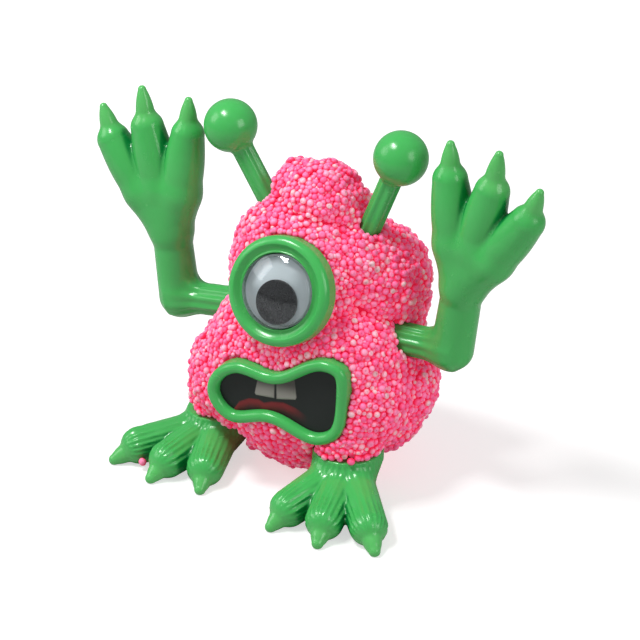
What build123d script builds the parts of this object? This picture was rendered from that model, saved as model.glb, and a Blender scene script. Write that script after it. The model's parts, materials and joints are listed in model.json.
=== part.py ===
"""One-eyed creature of bead modelling foam, with push-in soft-plastic limbs, eye and mouth.

Frame: millimetres, +Z up. The toy faces -Y and its own left side is +X.
Origin: on the table, under the middle of the body.
The foam is one body of pressed-together lumps. Every green moulding has a peg that sits in a foam socket.
"""
from build123d import *
import os
from math import cos, radians, sin

os.makedirs("parts", exist_ok=True)

# ---- Fits ---------------------------------------------------------------------------------
SOCKET_GAP = 0.05          # radial clearance of a peg in its foam socket
SWEEP_GAP = 0.2            # foam kept this far off everything that turns
REACH = 60.0               # how far a keep-clear volume runs out of the foam
OVERLAP = 1.0              # how deep a peg runs into its own moulding, so that they fuse

# ---- Foam lumps: centre and radius of each pressed ball ------------------------------------
SEAM_TURN = (25, 10, 75)   # degrees about X, Y and Z
BELLY_BALLS = (
    ((0.5, 3, 25), 26.0),
    ((-4.5, -1, 27.5), 21.5),
    ((7, -1, 29), 21.5),
    ((11, -6, 32), 16.0),
)
CHEEK_BALLS = (
    ((-12.5, 0, 18), 17.0),
    ((-15, -6, 23), 14.0),
    ((-20.5, 1, 25), 10.0),
    ((-20, -6, 18.5), 8.5),
)
HIP_BALLS = (
    ((13.5, 3, 21), 15.6),
    ((19, 3, 24), 12.0),
    ((15.5, -7.5, 24.5), 14.0),
    ((17, -12, 18.5), 9.0),
)
SEAT_BALLS = (((0, 9, 16), 18.5),)
HEAD_BALLS = (((-0.5, 0, 52), 19.2),)
SHOULDER_BALLS = (
    ((12, 6, 44), 14.5),
    ((14, 5, 50), 13.5),
    ((9.5, 1, 54.5), 13.0),
)
CROWN_BALLS = (
    ((2.8, 0, 68.2), 10.2),
    ((4.5, 2, 63), 11.0),
    ((-3, 1, 70), 7.4),
)

# ---- Arms ------------------------------------------------------------------------------------
ARM_STEM_RADIUS = 4.0
ARM_STEM_LENGTH = 26.0     # from the elbow to the buried end
ELBOW_RADIUS = 5.1
WRIST_RADIUS = 4.8
FOREARM_LENGTH = 16.0
HAND_YAW = 5.0             # degrees, palms turned towards each other
LEFT_ELBOW = (37.5, 0, 38.7)
LEFT_STEM_SLOPE = 1.0      # degrees, the elbow above the socket
LEFT_LEAN = 9.4            # degrees, the forearm outward
LEFT_SWING = 3.5           # degrees, the raised hand in front of the elbow
RIGHT_ELBOW = (-38.2, 0, 35.2)
RIGHT_STEM_SLOPE = -6.0
RIGHT_LEAN = 6.2
RIGHT_SWING = 0.0
# each finger in the hand's plane, from the wrist: outward and upward of base, fingertip, claw tip
FINGERS = (
    ((-3.8, 11.0), (-8.2, 28.0), (-9.2, 35.2)),
    ((1.5, 12.0), (3.4, 29.5), (3.4, 37.6)),
    ((6.2, 11.0), (14.0, 25.6), (14.9, 32.7)),
)
PALM_RADIUS = 5.2
PALM_ROOT_RADIUS = 4.6     # the palm starts a little inside the wrist
FINGER_BASE_RADIUS = 4.8
FINGER_TIP_RADIUS = 4.1
CLAW_RADIUS = 2.6
CLAW_TIP_RADIUS = 0.5

# ---- Antennae --------------------------------------------------------------------------------
ANTENNA_BALL_RADIUS = 6.4
ANTENNA_STEM_RADIUS = 2.7
ANTENNA_STEM_LENGTH = 34.0   # from the ball's centre to the buried end
LEFT_BALL = (23.2, 0, 83.4)
LEFT_TILT = 22.5             # degrees from upright
RIGHT_BALL = (-22.5, 0, 82.9)
RIGHT_TILT = 32.0

# ---- Feet ------------------------------------------------------------------------------------
LEFT_ANKLE = (17.3, -13.3)
RIGHT_ANKLE = (-22.0, -6.5)
FOOT_SPLAY = 13.0          # degrees, each foot turned outward
CUFF_RADIUS = 8.5
CUFF_TOP = 11.2
CUFF_RIM = 2.6             # height of the cuff's upright rim
CUFF_FOOT_RADIUS = 5.8
CUFF_FOOT_HEIGHT = 4.2
FOOT_PEG_RADIUS = 3.0
FOOT_PEG_LENGTH = 12.0
FOOT_TURN = 15.0           # degrees each way on the peg
# each toe's angle in the fan, then the distances from the peg to its knuckle and its claw tip
TOES = ((-31.5, 18.6, 24.7), (0.0, 19.2, 25.3), (29.0, 21.5, 28.3))
TOE_RADIUS = 4.6
TOE_HEIGHT = 4.1           # height of a knuckle's centre
INSTEP_RADIUS = 5.2
INSTEP_HEIGHT = 5.6
INSTEP_OUT = 1.5           # a toe's root, in front of the peg
TOE_CLAW_RADIUS = 2.5
TOE_CLAW_TIP = 0.9

# ---- Eye -------------------------------------------------------------------------------------
EYE_CENTRE = (2.2, -21.0, 53.5)   # on the ring's front plane
EYE_YAW = 3.0              # degrees towards the toy's left
EYE_PITCH = 17.0           # degrees upward
RING_RADIUS = 13.0
RING_DEPTH = 5.2
RING_EDGE = 1.9            # rounding of the outer edge
EYE_RADIUS = 8.7           # the wobbly eye
EYE_SEAT_RADIUS = 8.95
SEAT_DEPTH = 2.6           # the eye's back, below the ring's front
DISH_DEPTH = 1.0
RING_PEG_RADIUS = 3.5
RING_PEG_LENGTH = 11.0
CUP_THICKNESS = 0.8
DOME_WALL = 0.7
DOME_SKIRT = 1.9
DOME_RISE = 2.6
PUPIL_RADIUS = 5.25
PUPIL_THICKNESS = 0.8
PUPIL_GAP = 0.15
PUPIL_ORBIT = 2.55         # from the eye's axis to the pupil's
PUPIL_ANGLE = -90.0        # degrees round the eye from its right: resting at the bottom

# ---- Mouth -----------------------------------------------------------------------------------
MOUTH_CENTRE = (4.6, -23.4, 27.0)  # on the lip's front plane
MOUTH_YAW = 6.0            # degrees towards the toy's left
LIP_POINTS = ((-19.5, -1.3), (-11.9, 7.2), (-2.8, 6.2), (10.1, 12.0), (15.2, 10.6),
              (16.6, 3.0), (13.4, -8.3), (8.2, -10.3), (-4.0, -7.0), (-13.4, -8.6))
LIP_STEPS = 40             # points on each moved outline
LIP_WIDTH = 2.8
LIP_DEPTH = 4.4
LIP_EDGE = 1.35
BACK_PLATE = 1.0
INSERT_THICKNESS = 1.2
INSERT_GAP = 0.05
MOUTH_PEG_RADIUS = 4.0
MOUTH_PEG_LENGTH = 10.0

# ---- Stray bead ------------------------------------------------------------------------------
STRAY_BEAD = (-32.8, -26.5, 2.25)
STRAY_BEAD_RADIUS = 1.05


def round_cone(start, end, start_radius, end_radius):
    """A limb between two points, with a ball of its own radius at each end."""
    direction = Vector(*end) - Vector(*start)
    length = direction.length
    start_half = start_radius * sin(radians(45))
    end_half = end_radius * sin(radians(45))
    lowest = (0, -start_radius)
    highest = (0, length + end_radius)
    bottom = ThreePointArc(lowest, (start_half, -start_half), (start_radius, 0))
    side = Line((start_radius, 0), (end_radius, length))
    top = ThreePointArc((end_radius, length), (end_half, length + end_half), highest)
    spine = Line(highest, lowest)
    limb = revolve(Plane.XZ * make_face([bottom, side, top, spine]), axis=Axis.Z)
    return Plane(origin=Vector(*start), z_dir=direction) * limb


def rod(start, direction, radius, length):
    """A plain cylinder from a point along a direction."""
    return Plane(origin=start, z_dir=direction) * Cylinder(
        radius, length, align=(Align.CENTER, Align.CENTER, Align.MIN))


def fused(pieces):
    """All pieces as one solid."""
    whole = pieces[0]
    for piece in pieces[1:]:
        whole = whole + piece
    return whole


def ground():
    """Everything below the table top."""
    return Pos(0, 0, -REACH / 2) * Box(4 * REACH, 4 * REACH, REACH)


# ---- Mouldings ---------------------------------------------------------------------------------
def arm_axis(slope, side):
    """Unit direction from the socket out to the elbow."""
    return Vector(side * cos(radians(slope)), 0, sin(radians(slope)))


def arm(side, elbow, slope, lean, swing):
    """Stem, forearm, palm and three clawed fingers; side is +1 for the toy's left."""
    wrist = (0, 0, FOREARM_LENGTH)
    pieces = [round_cone((0, 0, 0), wrist, ELBOW_RADIUS, WRIST_RADIUS)]
    for base, fingertip, claw_tip in FINGERS:
        base_point = (base[0], 0, FOREARM_LENGTH + base[1])
        tip_point = (fingertip[0], 0, FOREARM_LENGTH + fingertip[1])
        claw_point = (claw_tip[0], 0, FOREARM_LENGTH + claw_tip[1])
        pieces.append(round_cone(wrist, base_point, PALM_ROOT_RADIUS, PALM_RADIUS))
        pieces.append(round_cone(base_point, tip_point, FINGER_BASE_RADIUS, FINGER_TIP_RADIUS))
        pieces.append(round_cone(tip_point, claw_point, CLAW_RADIUS, CLAW_TIP_RADIUS))
    hand = Rot(0, lean, 0) * Rot(0, 0, -HAND_YAW) * fused(pieces)
    if side < 0:
        hand = mirror(hand, Plane.YZ)
    stem = rod(elbow, -arm_axis(slope, side), ARM_STEM_RADIUS, ARM_STEM_LENGTH)
    return Pos(*elbow) * Rot(swing, 0, 0) * hand + stem


def antenna_axis(tilt):
    """Unit direction from the buried end up to the ball; tilt is positive towards +X."""
    return Vector(sin(radians(tilt)), 0, cos(radians(tilt)))


def antenna(ball_centre, tilt):
    """A ball on a straight stem."""
    stem = rod(ball_centre, -antenna_axis(tilt), ANTENNA_STEM_RADIUS, ANTENNA_STEM_LENGTH)
    return Pos(*ball_centre) * Sphere(ANTENNA_BALL_RADIUS) + stem


def foot_place(side, ankle):
    """Where a foot stands, splayed outward."""
    return Pos(ankle[0], ankle[1], 0) * Rot(0, 0, side * FOOT_SPLAY)


def foot(side, ankle):
    """Cuff, three clawed toes, a flat sole and an upright peg."""
    rim = Pos(0, 0, CUFF_TOP - CUFF_RIM / 2) * Cylinder(CUFF_RADIUS, CUFF_RIM)
    taper_height = CUFF_TOP - CUFF_RIM - CUFF_FOOT_HEIGHT
    taper = Cone(CUFF_FOOT_RADIUS, CUFF_RADIUS, taper_height)
    taper = Pos(0, 0, CUFF_FOOT_HEIGHT + taper_height / 2) * taper
    peg = rod((0, 0, CUFF_TOP - OVERLAP), (0, 0, 1), FOOT_PEG_RADIUS, FOOT_PEG_LENGTH + OVERLAP)
    pieces = [rim, taper, peg]
    for angle, to_knuckle, to_claw in TOES:
        outward = Vector(side * sin(radians(angle)), -cos(radians(angle)), 0)
        knuckle = outward * to_knuckle + Vector(0, 0, TOE_HEIGHT)
        claw = outward * to_claw + Vector(0, 0, TOE_CLAW_TIP)
        instep = outward * INSTEP_OUT + Vector(0, 0, INSTEP_HEIGHT)
        pieces.append(round_cone(instep, knuckle, INSTEP_RADIUS, TOE_RADIUS))
        pieces.append(round_cone(knuckle, claw, TOE_CLAW_RADIUS, TOE_CLAW_TIP))
    return foot_place(side, ankle) * fused(pieces) - ground()


def foot_sweep(side, ankle):
    """The space a foot takes as it turns on its peg: toes, cuff and peg, as separate volumes."""
    reach = max(toe[2] for toe in TOES) + TOE_CLAW_TIP + SWEEP_GAP
    height = CUFF_TOP + SOCKET_GAP
    fan = Pos(0, 0, height / 2) * Cylinder(reach, height)
    beside_toe = reach + INSTEP_RADIUS + SWEEP_GAP
    beyond = Pos(0, beside_toe, height / 2) * Box(4 * reach, 2 * reach, 2 * height)
    fan = fan - Rot(0, 0, side * (TOES[0][0] - FOOT_TURN + 90)) * beyond
    fan = fan - Rot(0, 0, side * (TOES[-1][0] + FOOT_TURN - 90)) * beyond
    cuff = Cylinder(CUFF_RADIUS + SWEEP_GAP, CUFF_TOP + 2 * SOCKET_GAP)
    cuff = Pos(0, 0, CUFF_TOP / 2) * cuff
    peg_length = OVERLAP + FOOT_PEG_LENGTH + SOCKET_GAP
    peg = rod((0, 0, CUFF_TOP - OVERLAP), (0, 0, 1), FOOT_PEG_RADIUS + SOCKET_GAP, peg_length)
    return [foot_place(side, ankle) * volume for volume in (fan, cuff, peg)]


# ---- Eye ---------------------------------------------------------------------------------------
def eye_plane():
    """Local +Z is the eye's outward axis, local +X the viewer's right."""
    yaw = radians(EYE_YAW)
    pitch = radians(EYE_PITCH)
    outward = Vector(sin(yaw) * cos(pitch), -cos(yaw) * cos(pitch), sin(pitch))
    return Plane(origin=EYE_CENTRE, x_dir=(cos(yaw), sin(yaw), 0), z_dir=outward)


def revolved(*edges):
    """Spin a closed radius-height outline about the local Z axis."""
    return revolve(Plane.XZ * make_face(list(edges)), axis=Axis.Z)


def eye_ring():
    """Dished ring with a rounded outer edge, a recess for the eye and a peg."""
    crest = RING_RADIUS - RING_EDGE
    corner = RING_EDGE * (1 - cos(radians(45)))
    dish_middle = ((crest + EYE_SEAT_RADIUS) / 2, -DISH_DEPTH)
    body = revolved(
        Line((0, -RING_DEPTH), (RING_RADIUS, -RING_DEPTH)),
        Line((RING_RADIUS, -RING_DEPTH), (RING_RADIUS, -RING_EDGE)),
        ThreePointArc((RING_RADIUS, -RING_EDGE), (RING_RADIUS - corner, -corner), (crest, 0)),
        ThreePointArc((crest, 0), dish_middle, (EYE_SEAT_RADIUS, -DISH_DEPTH / 2)),
        Line((EYE_SEAT_RADIUS, -DISH_DEPTH / 2), (EYE_SEAT_RADIUS, -SEAT_DEPTH)),
        Line((EYE_SEAT_RADIUS, -SEAT_DEPTH), (0, -SEAT_DEPTH)),
        Line((0, -SEAT_DEPTH), (0, -RING_DEPTH)),
    )
    peg_start = OVERLAP - RING_DEPTH
    return body + rod((0, 0, peg_start), (0, 0, -1), RING_PEG_RADIUS, RING_PEG_LENGTH + OVERLAP)


def eye_cup():
    """White backing disc."""
    return Pos(0, 0, -SEAT_DEPTH + CUP_THICKNESS / 2) * Cylinder(EYE_RADIUS, CUP_THICKNESS)


def cap_edge(radius, base, rise, reverse=False):
    """Arc of a spherical cap from its rim to its top on the axis."""
    sphere_radius = (radius ** 2 + rise ** 2) / (2 * rise)
    drop = sphere_radius - (sphere_radius ** 2 - radius ** 2 / 4) ** 0.5
    middle = (radius / 2, base + rise - drop)
    ends = [(radius, base), middle, (0, base + rise)]
    return ThreePointArc(*(reversed(ends) if reverse else ends))


def eye_dome():
    """Clear domed shell on a short skirt, open at the back."""
    back = CUP_THICKNESS - SEAT_DEPTH
    shoulder = back + DOME_SKIRT
    inner = EYE_RADIUS - DOME_WALL
    inner_shoulder = shoulder - DOME_WALL / 2
    inner_rise = DOME_RISE - DOME_WALL / 2
    return revolved(
        Line((inner, back), (EYE_RADIUS, back)),
        Line((EYE_RADIUS, back), (EYE_RADIUS, shoulder)),
        cap_edge(EYE_RADIUS, shoulder, DOME_RISE),
        Line((0, shoulder + DOME_RISE), (0, inner_shoulder + inner_rise)),
        cap_edge(inner, inner_shoulder, inner_rise, reverse=True),
        Line((inner, inner_shoulder), (inner, back)),
    )


def eye_pupil():
    """Loose black disc, at rest against the rim."""
    height = -SEAT_DEPTH + CUP_THICKNESS + PUPIL_GAP + PUPIL_THICKNESS / 2
    angle = radians(PUPIL_ANGLE)
    place = Pos(PUPIL_ORBIT * cos(angle), PUPIL_ORBIT * sin(angle), height)
    return place * Cylinder(PUPIL_RADIUS, PUPIL_THICKNESS)


def eye_keep_clear():
    """The ring's pocket, open outward, and its peg socket."""
    pocket = rod((0, 0, -RING_DEPTH), (0, 0, 1), RING_RADIUS + SOCKET_GAP, REACH)
    socket_depth = RING_DEPTH + RING_PEG_LENGTH + SOCKET_GAP
    return pocket + rod((0, 0, 0), (0, 0, -1), RING_PEG_RADIUS + SOCKET_GAP, socket_depth)


# ---- Mouth -------------------------------------------------------------------------------------
def mouth_plane():
    """Local +Z is the mouth's outward axis, local +X the viewer's right, local +Y up."""
    yaw = radians(MOUTH_YAW)
    return Plane(origin=MOUTH_CENTRE, x_dir=(cos(yaw), sin(yaw), 0), z_dir=(sin(yaw), -cos(yaw), 0))


def lip_outline(inset=0.0):
    """The wavy bow-tie outline moved inward by inset, as two joined curves."""
    master = Spline(*LIP_POINTS, periodic=True)
    points = []
    for step in range(LIP_STEPS):
        place = master.position_at(step / LIP_STEPS)
        along = master.tangent_at(step / LIP_STEPS)
        points.append((place.X + along.Y * inset, place.Y - along.X * inset))
    middle = LIP_STEPS // 2
    start_tangent = Vector(*points[1]) - Vector(*points[-1])
    middle_tangent = Vector(*points[middle + 1]) - Vector(*points[middle - 1])
    return make_face([
        Spline(*points[:middle + 1], tangents=(start_tangent, middle_tangent)),
        Spline(*points[middle:], points[0], tangents=(middle_tangent, start_tangent)),
    ])


def lip_block(inset, edge_inset):
    """A block of the outline with its front edge rounded towards edge_inset."""
    turn = sin(radians(45))
    middle_inset = inset + (edge_inset - inset) * (1 - turn)
    block = Pos(0, 0, -LIP_DEPTH) * extrude(lip_outline(inset), LIP_DEPTH - LIP_EDGE)
    bevels = [(inset, -LIP_EDGE), (middle_inset, -LIP_EDGE * (1 - turn)), (edge_inset, 0)]
    for (low_inset, low), (high_inset, high) in zip(bevels, bevels[1:]):
        low_face = Pos(0, 0, low) * lip_outline(low_inset)
        high_face = Pos(0, 0, high) * lip_outline(high_inset)
        block = block + loft([low_face, high_face])
    return block


def mouth_lip():
    """Rounded wavy lip on a back plate with a peg."""
    ring = lip_block(0, LIP_EDGE) - lip_block(LIP_WIDTH, LIP_WIDTH - LIP_EDGE)
    plate = Pos(0, 0, -LIP_DEPTH) * extrude(lip_outline(LIP_WIDTH / 2), BACK_PLATE)
    root = BACK_PLATE / 2
    peg = rod((0, 0, root - LIP_DEPTH), (0, 0, -1), MOUTH_PEG_RADIUS, MOUTH_PEG_LENGTH + root)
    return ring + plate + peg


def mouth_insert():
    """Plate with the dark mouth, teeth and tongue on its face."""
    plate = extrude(lip_outline(LIP_WIDTH + INSERT_GAP), INSERT_THICKNESS)
    return Pos(0, 0, -LIP_DEPTH + BACK_PLATE + INSERT_GAP) * plate


def mouth_keep_clear():
    """The lip's pocket, open outward, and its peg socket."""
    pocket = Pos(0, 0, -LIP_DEPTH) * extrude(lip_outline(-SOCKET_GAP), REACH)
    socket_depth = LIP_DEPTH + MOUTH_PEG_LENGTH + SOCKET_GAP
    return pocket + rod((0, 0, 0), (0, 0, -1), MOUTH_PEG_RADIUS + SOCKET_GAP, socket_depth)


# ---- Foam --------------------------------------------------------------------------------------
def ball(centre, radius):
    """A sphere whose seam and poles are turned away from the planes of the sockets."""
    return Pos(*centre) * Rot(*SEAM_TURN) * Sphere(radius)


def lump(balls, pressed_against, keep_clear):
    """Pressed balls, flattened by the table, stopped by earlier lumps, with the sockets cut out."""
    foam = fused([ball(centre, radius) for centre, radius in balls]) - ground()
    for other_balls in pressed_against:
        for centre, radius in other_balls:
            foam = foam - ball(centre, radius)
    for volume in keep_clear:
        foam = foam - volume
    return foam


def stem_clear(elbow, slope, side):
    """Socket of an arm's stem, open outward."""
    axis = arm_axis(slope, side)
    inner_end = Vector(*elbow) - axis * (ARM_STEM_LENGTH + SOCKET_GAP)
    return rod(inner_end, axis, ARM_STEM_RADIUS + SOCKET_GAP, ARM_STEM_LENGTH)


def antenna_clear(ball_centre, tilt):
    """Socket of an antenna's stem, open outward."""
    axis = antenna_axis(tilt)
    inner_end = Vector(*ball_centre) - axis * (ANTENNA_STEM_LENGTH + SOCKET_GAP)
    return rod(inner_end, axis, ANTENNA_STEM_RADIUS + SOCKET_GAP, ANTENNA_STEM_LENGTH)


keep_clear = [
    stem_clear(LEFT_ELBOW, LEFT_STEM_SLOPE, 1),
    stem_clear(RIGHT_ELBOW, RIGHT_STEM_SLOPE, -1),
    antenna_clear(LEFT_BALL, LEFT_TILT),
    antenna_clear(RIGHT_BALL, -RIGHT_TILT),
    *foot_sweep(1, LEFT_ANKLE),
    *foot_sweep(-1, RIGHT_ANKLE),
    eye_plane() * eye_keep_clear(),
    mouth_plane() * mouth_keep_clear(),
]

nodes = {
    "foam_belly": lump(BELLY_BALLS, (), keep_clear),
    "foam_cheek_right": lump(CHEEK_BALLS, (BELLY_BALLS,), keep_clear),
    "foam_hip_left": lump(HIP_BALLS, (BELLY_BALLS, CHEEK_BALLS), keep_clear),
    "foam_seat": lump(SEAT_BALLS, (BELLY_BALLS, CHEEK_BALLS, HIP_BALLS), keep_clear),
    "foam_head": lump(HEAD_BALLS, (BELLY_BALLS,), keep_clear),
    "foam_shoulder_left": lump(SHOULDER_BALLS, (BELLY_BALLS, HEAD_BALLS, HIP_BALLS), keep_clear),
    "foam_crown": lump(CROWN_BALLS, (HEAD_BALLS, SHOULDER_BALLS), keep_clear),
    "arm_left": arm(1, LEFT_ELBOW, LEFT_STEM_SLOPE, LEFT_LEAN, LEFT_SWING),
    "arm_right": arm(-1, RIGHT_ELBOW, RIGHT_STEM_SLOPE, RIGHT_LEAN, RIGHT_SWING),
    "antenna_left": antenna(LEFT_BALL, LEFT_TILT),
    "antenna_right": antenna(RIGHT_BALL, -RIGHT_TILT),
    "foot_left": foot(1, LEFT_ANKLE),
    "foot_right": foot(-1, RIGHT_ANKLE),
    "eye_ring": eye_plane() * eye_ring(),
    "eye_cup": eye_plane() * eye_cup(),
    "eye_dome": eye_plane() * eye_dome(),
    "eye_pupil": eye_plane() * eye_pupil(),
    "mouth_lip": mouth_plane() * mouth_lip(),
    "mouth_insert": mouth_plane() * mouth_insert(),
    "stray_bead": Pos(*STRAY_BEAD) * Sphere(STRAY_BEAD_RADIUS),
}

for name, solid in nodes.items():
    export_step(solid, f"parts/{name}.step")
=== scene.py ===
"""Looks for the one-eyed bead-foam creature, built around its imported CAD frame.

Metres in the scene, millimetres while a shape is being made. +Z is up, the creature faces -Y and its
own left side is +X. Soft-plastic parts are meshed from signed distance fields, negative inside.
The foam is a core with thousands of separate little balls set into it.
"""

import json
from math import cos, pi, radians, sin, sqrt

import bpy
import numpy as np
from mathutils import Matrix, Vector


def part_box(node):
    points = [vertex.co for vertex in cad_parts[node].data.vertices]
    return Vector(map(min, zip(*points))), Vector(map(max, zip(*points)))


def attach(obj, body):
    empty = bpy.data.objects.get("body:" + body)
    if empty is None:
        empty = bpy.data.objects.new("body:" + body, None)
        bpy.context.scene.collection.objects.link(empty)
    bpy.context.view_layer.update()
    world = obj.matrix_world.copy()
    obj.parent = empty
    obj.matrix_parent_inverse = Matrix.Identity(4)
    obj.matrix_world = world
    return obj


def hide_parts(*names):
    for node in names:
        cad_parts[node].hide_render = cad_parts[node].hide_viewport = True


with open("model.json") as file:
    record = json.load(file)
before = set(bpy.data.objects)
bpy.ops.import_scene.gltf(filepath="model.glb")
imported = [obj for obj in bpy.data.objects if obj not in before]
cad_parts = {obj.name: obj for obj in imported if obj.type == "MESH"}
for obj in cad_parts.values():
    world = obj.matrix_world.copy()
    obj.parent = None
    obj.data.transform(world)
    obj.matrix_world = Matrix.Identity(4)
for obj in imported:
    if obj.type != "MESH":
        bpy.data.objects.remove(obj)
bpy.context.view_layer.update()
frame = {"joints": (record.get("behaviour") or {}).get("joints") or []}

MM = 0.001
JOINTS = {joint["name"]: joint for joint in frame["joints"]}
RANDOM = np.random.default_rng(7)

# ---- Sizes shared with the CAD, in millimetres and degrees ------------------------------------
ELBOW_RADIUS, WRIST_RADIUS, FOREARM_LENGTH = 5.1, 4.8, 16.0
LEFT_LEAN, RIGHT_LEAN, HAND_YAW, LEFT_SWING = 9.4, 6.2, 5.0, 3.5
ARM_STEM_RADIUS, ARM_STEM_LENGTH = 4.0, 26.0
# each finger's base, fingertip and claw tip, as (across, above the wrist)
FINGERS = (
    ((-3.8, 11.0), (-7.7, 26.2), (-9.1, 35.2)),
    ((1.5, 12.0), (3.2, 27.6), (3.4, 37.6)),
    ((6.2, 11.0), (13.1, 24.0), (14.9, 32.7)),
)
PALM_ROOT_RADIUS, PALM_RADIUS, FINGER_BASE_RADIUS, FINGER_TIP_RADIUS = 4.7, 5.2, 4.8, 4.1
FINGER_SWELL = 0.5
# start and end of the webs between the fingers
WEBS = (((-1.2, 11.0), (-2.4, 19.0)), ((4.0, 11.0), (8.4, 19.6)))
WEB_ROOT_RADIUS, WEB_TIP_RADIUS = 3.8, 2.3
CLAW_RADIUS, CLAW_TIP_RADIUS, CLAW_BLUNTING = 2.45, 0.5, 0.5

ANTENNA_BALL_RADIUS, ANTENNA_STEM_RADIUS, ANTENNA_STEM_LENGTH = 6.4, 2.7, 34.0

FOOT_SPLAY = 13.0
CUFF_RADIUS, CUFF_TOP, CUFF_RIM = 8.5, 11.2, 2.6
CUFF_FOOT_RADIUS, CUFF_FOOT_HEIGHT = 5.8, 4.2
FOOT_PEG_RADIUS, FOOT_PEG_LENGTH = 3.0, 12.0
# each toe's angle, distance to its knuckle and distance to its claw's tip
TOES = ((-31.5, 18.6, 24.7), (0.0, 19.2, 25.3), (29.0, 21.5, 28.3))
TOE_RADIUS, TOE_HEIGHT = 4.6, 4.1
INSTEP_RADIUS, INSTEP_HEIGHT, INSTEP_OUT = 5.2, 5.6, 1.5
TOE_CLAW_RADIUS, TOE_CLAW_TIP = 2.5, 0.9
FOOT_TURN = 15.0
# how much higher the foam leaves each soft cuff standing than its plain CAD height
LEFT_CUFF_RISE, RIGHT_CUFF_RISE = 2.4, 0.6

RING_RADIUS, RING_DEPTH, RING_EDGE = 13.0, 5.2, 1.9
EYE_RADIUS, EYE_SEAT_RADIUS, SEAT_DEPTH, DISH_DEPTH = 8.7, 8.95, 2.6, 1.0
RING_PEG_RADIUS, RING_PEG_LENGTH = 3.5, 11.0
CUP_THICKNESS, DOME_WALL, DOME_SKIRT, DOME_RISE = 0.8, 0.7, 1.9, 2.6
PUPIL_RADIUS, PUPIL_THICKNESS, PUPIL_GAP, PUPIL_ORBIT = 5.25, 0.8, 0.15, 2.55

MOUTH_CENTRE = np.array((4.6, -23.4, 27.0))
LIP_POINTS = ((-19.5, -1.3), (-11.9, 7.2), (-2.8, 6.2), (10.1, 12.0), (15.2, 10.6), (16.6, 3.0),
              (13.4, -8.3), (8.2, -10.3), (-4.0, -7.0), (-13.4, -8.6))
LIP_WIDTH, LIP_DEPTH, BACK_PLATE = 2.8, 4.4, 1.0
INSERT_THICKNESS, INSERT_GAP = 1.2, 0.05
MOUTH_PEG_RADIUS, MOUTH_PEG_LENGTH = 4.0, 10.0

# each foam lump's balls, as centre and radius; a lump is pressed flat by those before it
LUMPS = {
    "foam_belly": (((0.5, 3, 25), 26.0), ((-4.5, -1, 27.5), 21.5), ((7, -1, 29), 21.5), ((11, -6, 32), 16.0)),
    "foam_cheek_right": (((-12.5, 0, 18), 17.0), ((-15, -6, 23), 14.0), ((-20.5, 1, 25), 10.0),
                         ((-20, -6, 18.5), 8.5)),
    "foam_hip_left": (((13.5, 3, 21), 15.6), ((19, 3, 24), 12.0), ((15.5, -7.5, 24.5), 14.0),
                      ((17, -12, 18.5), 9.0)),
    "foam_seat": (((0, 9, 16), 18.5),),
    "foam_head": (((-0.5, 0, 52), 19.2),),
    "foam_shoulder_left": (((12, 6, 44), 14.5), ((14, 5, 50), 13.5), ((9.5, 1, 54.5), 13.0)),
    "foam_crown": (((2.8, 0, 68.2), 10.2), ((4.5, 2, 63), 11.0), ((-3, 1, 70), 7.4)),
}

# ---- Surface detail of the soft plastic, in millimetres ------------------------------------------
ARM_FLUTES, ARM_FLUTE_DEPTH = 11, 0.42
ANTENNA_FLUTES, ANTENNA_FLUTE_DEPTH = 7, 0.5
CUFF_FLUTES, CUFF_FLUTE_DEPTH = 40, 0.3
TOE_RIBS = 20
# how far off the surface a crease is looked for to paint shade into it, and how much of the pale green the
# claws take
CREASE_REACH, PALENESS = 2.2, 0.55
# spacing of each moulding's grid, and how far it runs past the CAD box
ARM_GRID, ANTENNA_GRID, FOOT_GRID = 0.42, 0.38, 0.4
ARM_MARGIN, ANTENNA_MARGIN, FOOT_MARGIN = 1.5, 1.2, 3.0

# ---- Colours, as sRGB hex -----------------------------------------------------------------------
# the second green is painted shade, laid into the creases of the soft plastic
GREEN, GREEN_CREASE_SHADE, GREEN_PALE = "46B55B", "06863C", "66C06A"
# painted shade for the eye ring's dish, and painted shadow for the recess round the eye
DISH_SHADE_GREEN, SEAT_SHADOW_GREEN = "3FA650", "0B5A2C"
# the cup's rim colour is painted light, paler than its middle
CUP_MIDDLE, CUP_RIM_LIGHT, PUPIL_BLACK = "DCE9EE", "E8F1F4", "14181B"
MOUTH_DARK, TONGUE_DARK, TONGUE_RED, TOOTH_DARK, TOOTH_GREY = "252928", "2C2325", "7A2A2C", "55514E", "9C9892"
# painted shade: a dark red low between the balls and a red-pink on their sides; the paler tops are painted
# light, in tones that differ from ball to ball
FOAM_CREVICE_SHADE, FOAM_SIDE_SHADE = "D80C38", "F62A60"
FOAM_LIT_TOPS = ("FD82B8", "FF97C4", "FA69A2", "FFB0D0", "F6CADB", "E2D0D6")
FOAM_TOP_SHARES = (0.3, 0.24, 0.2, 0.14, 0.08, 0.04)


def rgb(hexes):
    """Linear red, green and blue of an sRGB hex colour."""
    value = np.array([int(hexes[i:i + 2], 16) / 255 for i in (0, 2, 4)])
    return np.where(value <= 0.04045, value / 12.92, ((value + 0.055) / 1.055) ** 2.4)


def smoothstep(low, high, value):
    """0 below low, 1 above high, smooth between."""
    share = np.clip((value - low) / (high - low), 0, 1)
    return share * share * (3 - 2 * share)


def blend_colours(low, high, share):
    """Rows of colour between low and high."""
    return low + (high - low) * np.asarray(share)[:, None]


# ---- Signed distance fields ---------------------------------------------------------------------
def union(first, second, softness):
    """Both shapes, with the join rounded over softness."""
    share = np.clip(0.5 + 0.5 * (second - first) / softness, 0, 1)
    return second + (first - second) * share - softness * share * (1 - share)


def cut(shape, hole, softness):
    """The shape less the hole, with a rounded brim."""
    return -union(-shape, hole, softness)


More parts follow.
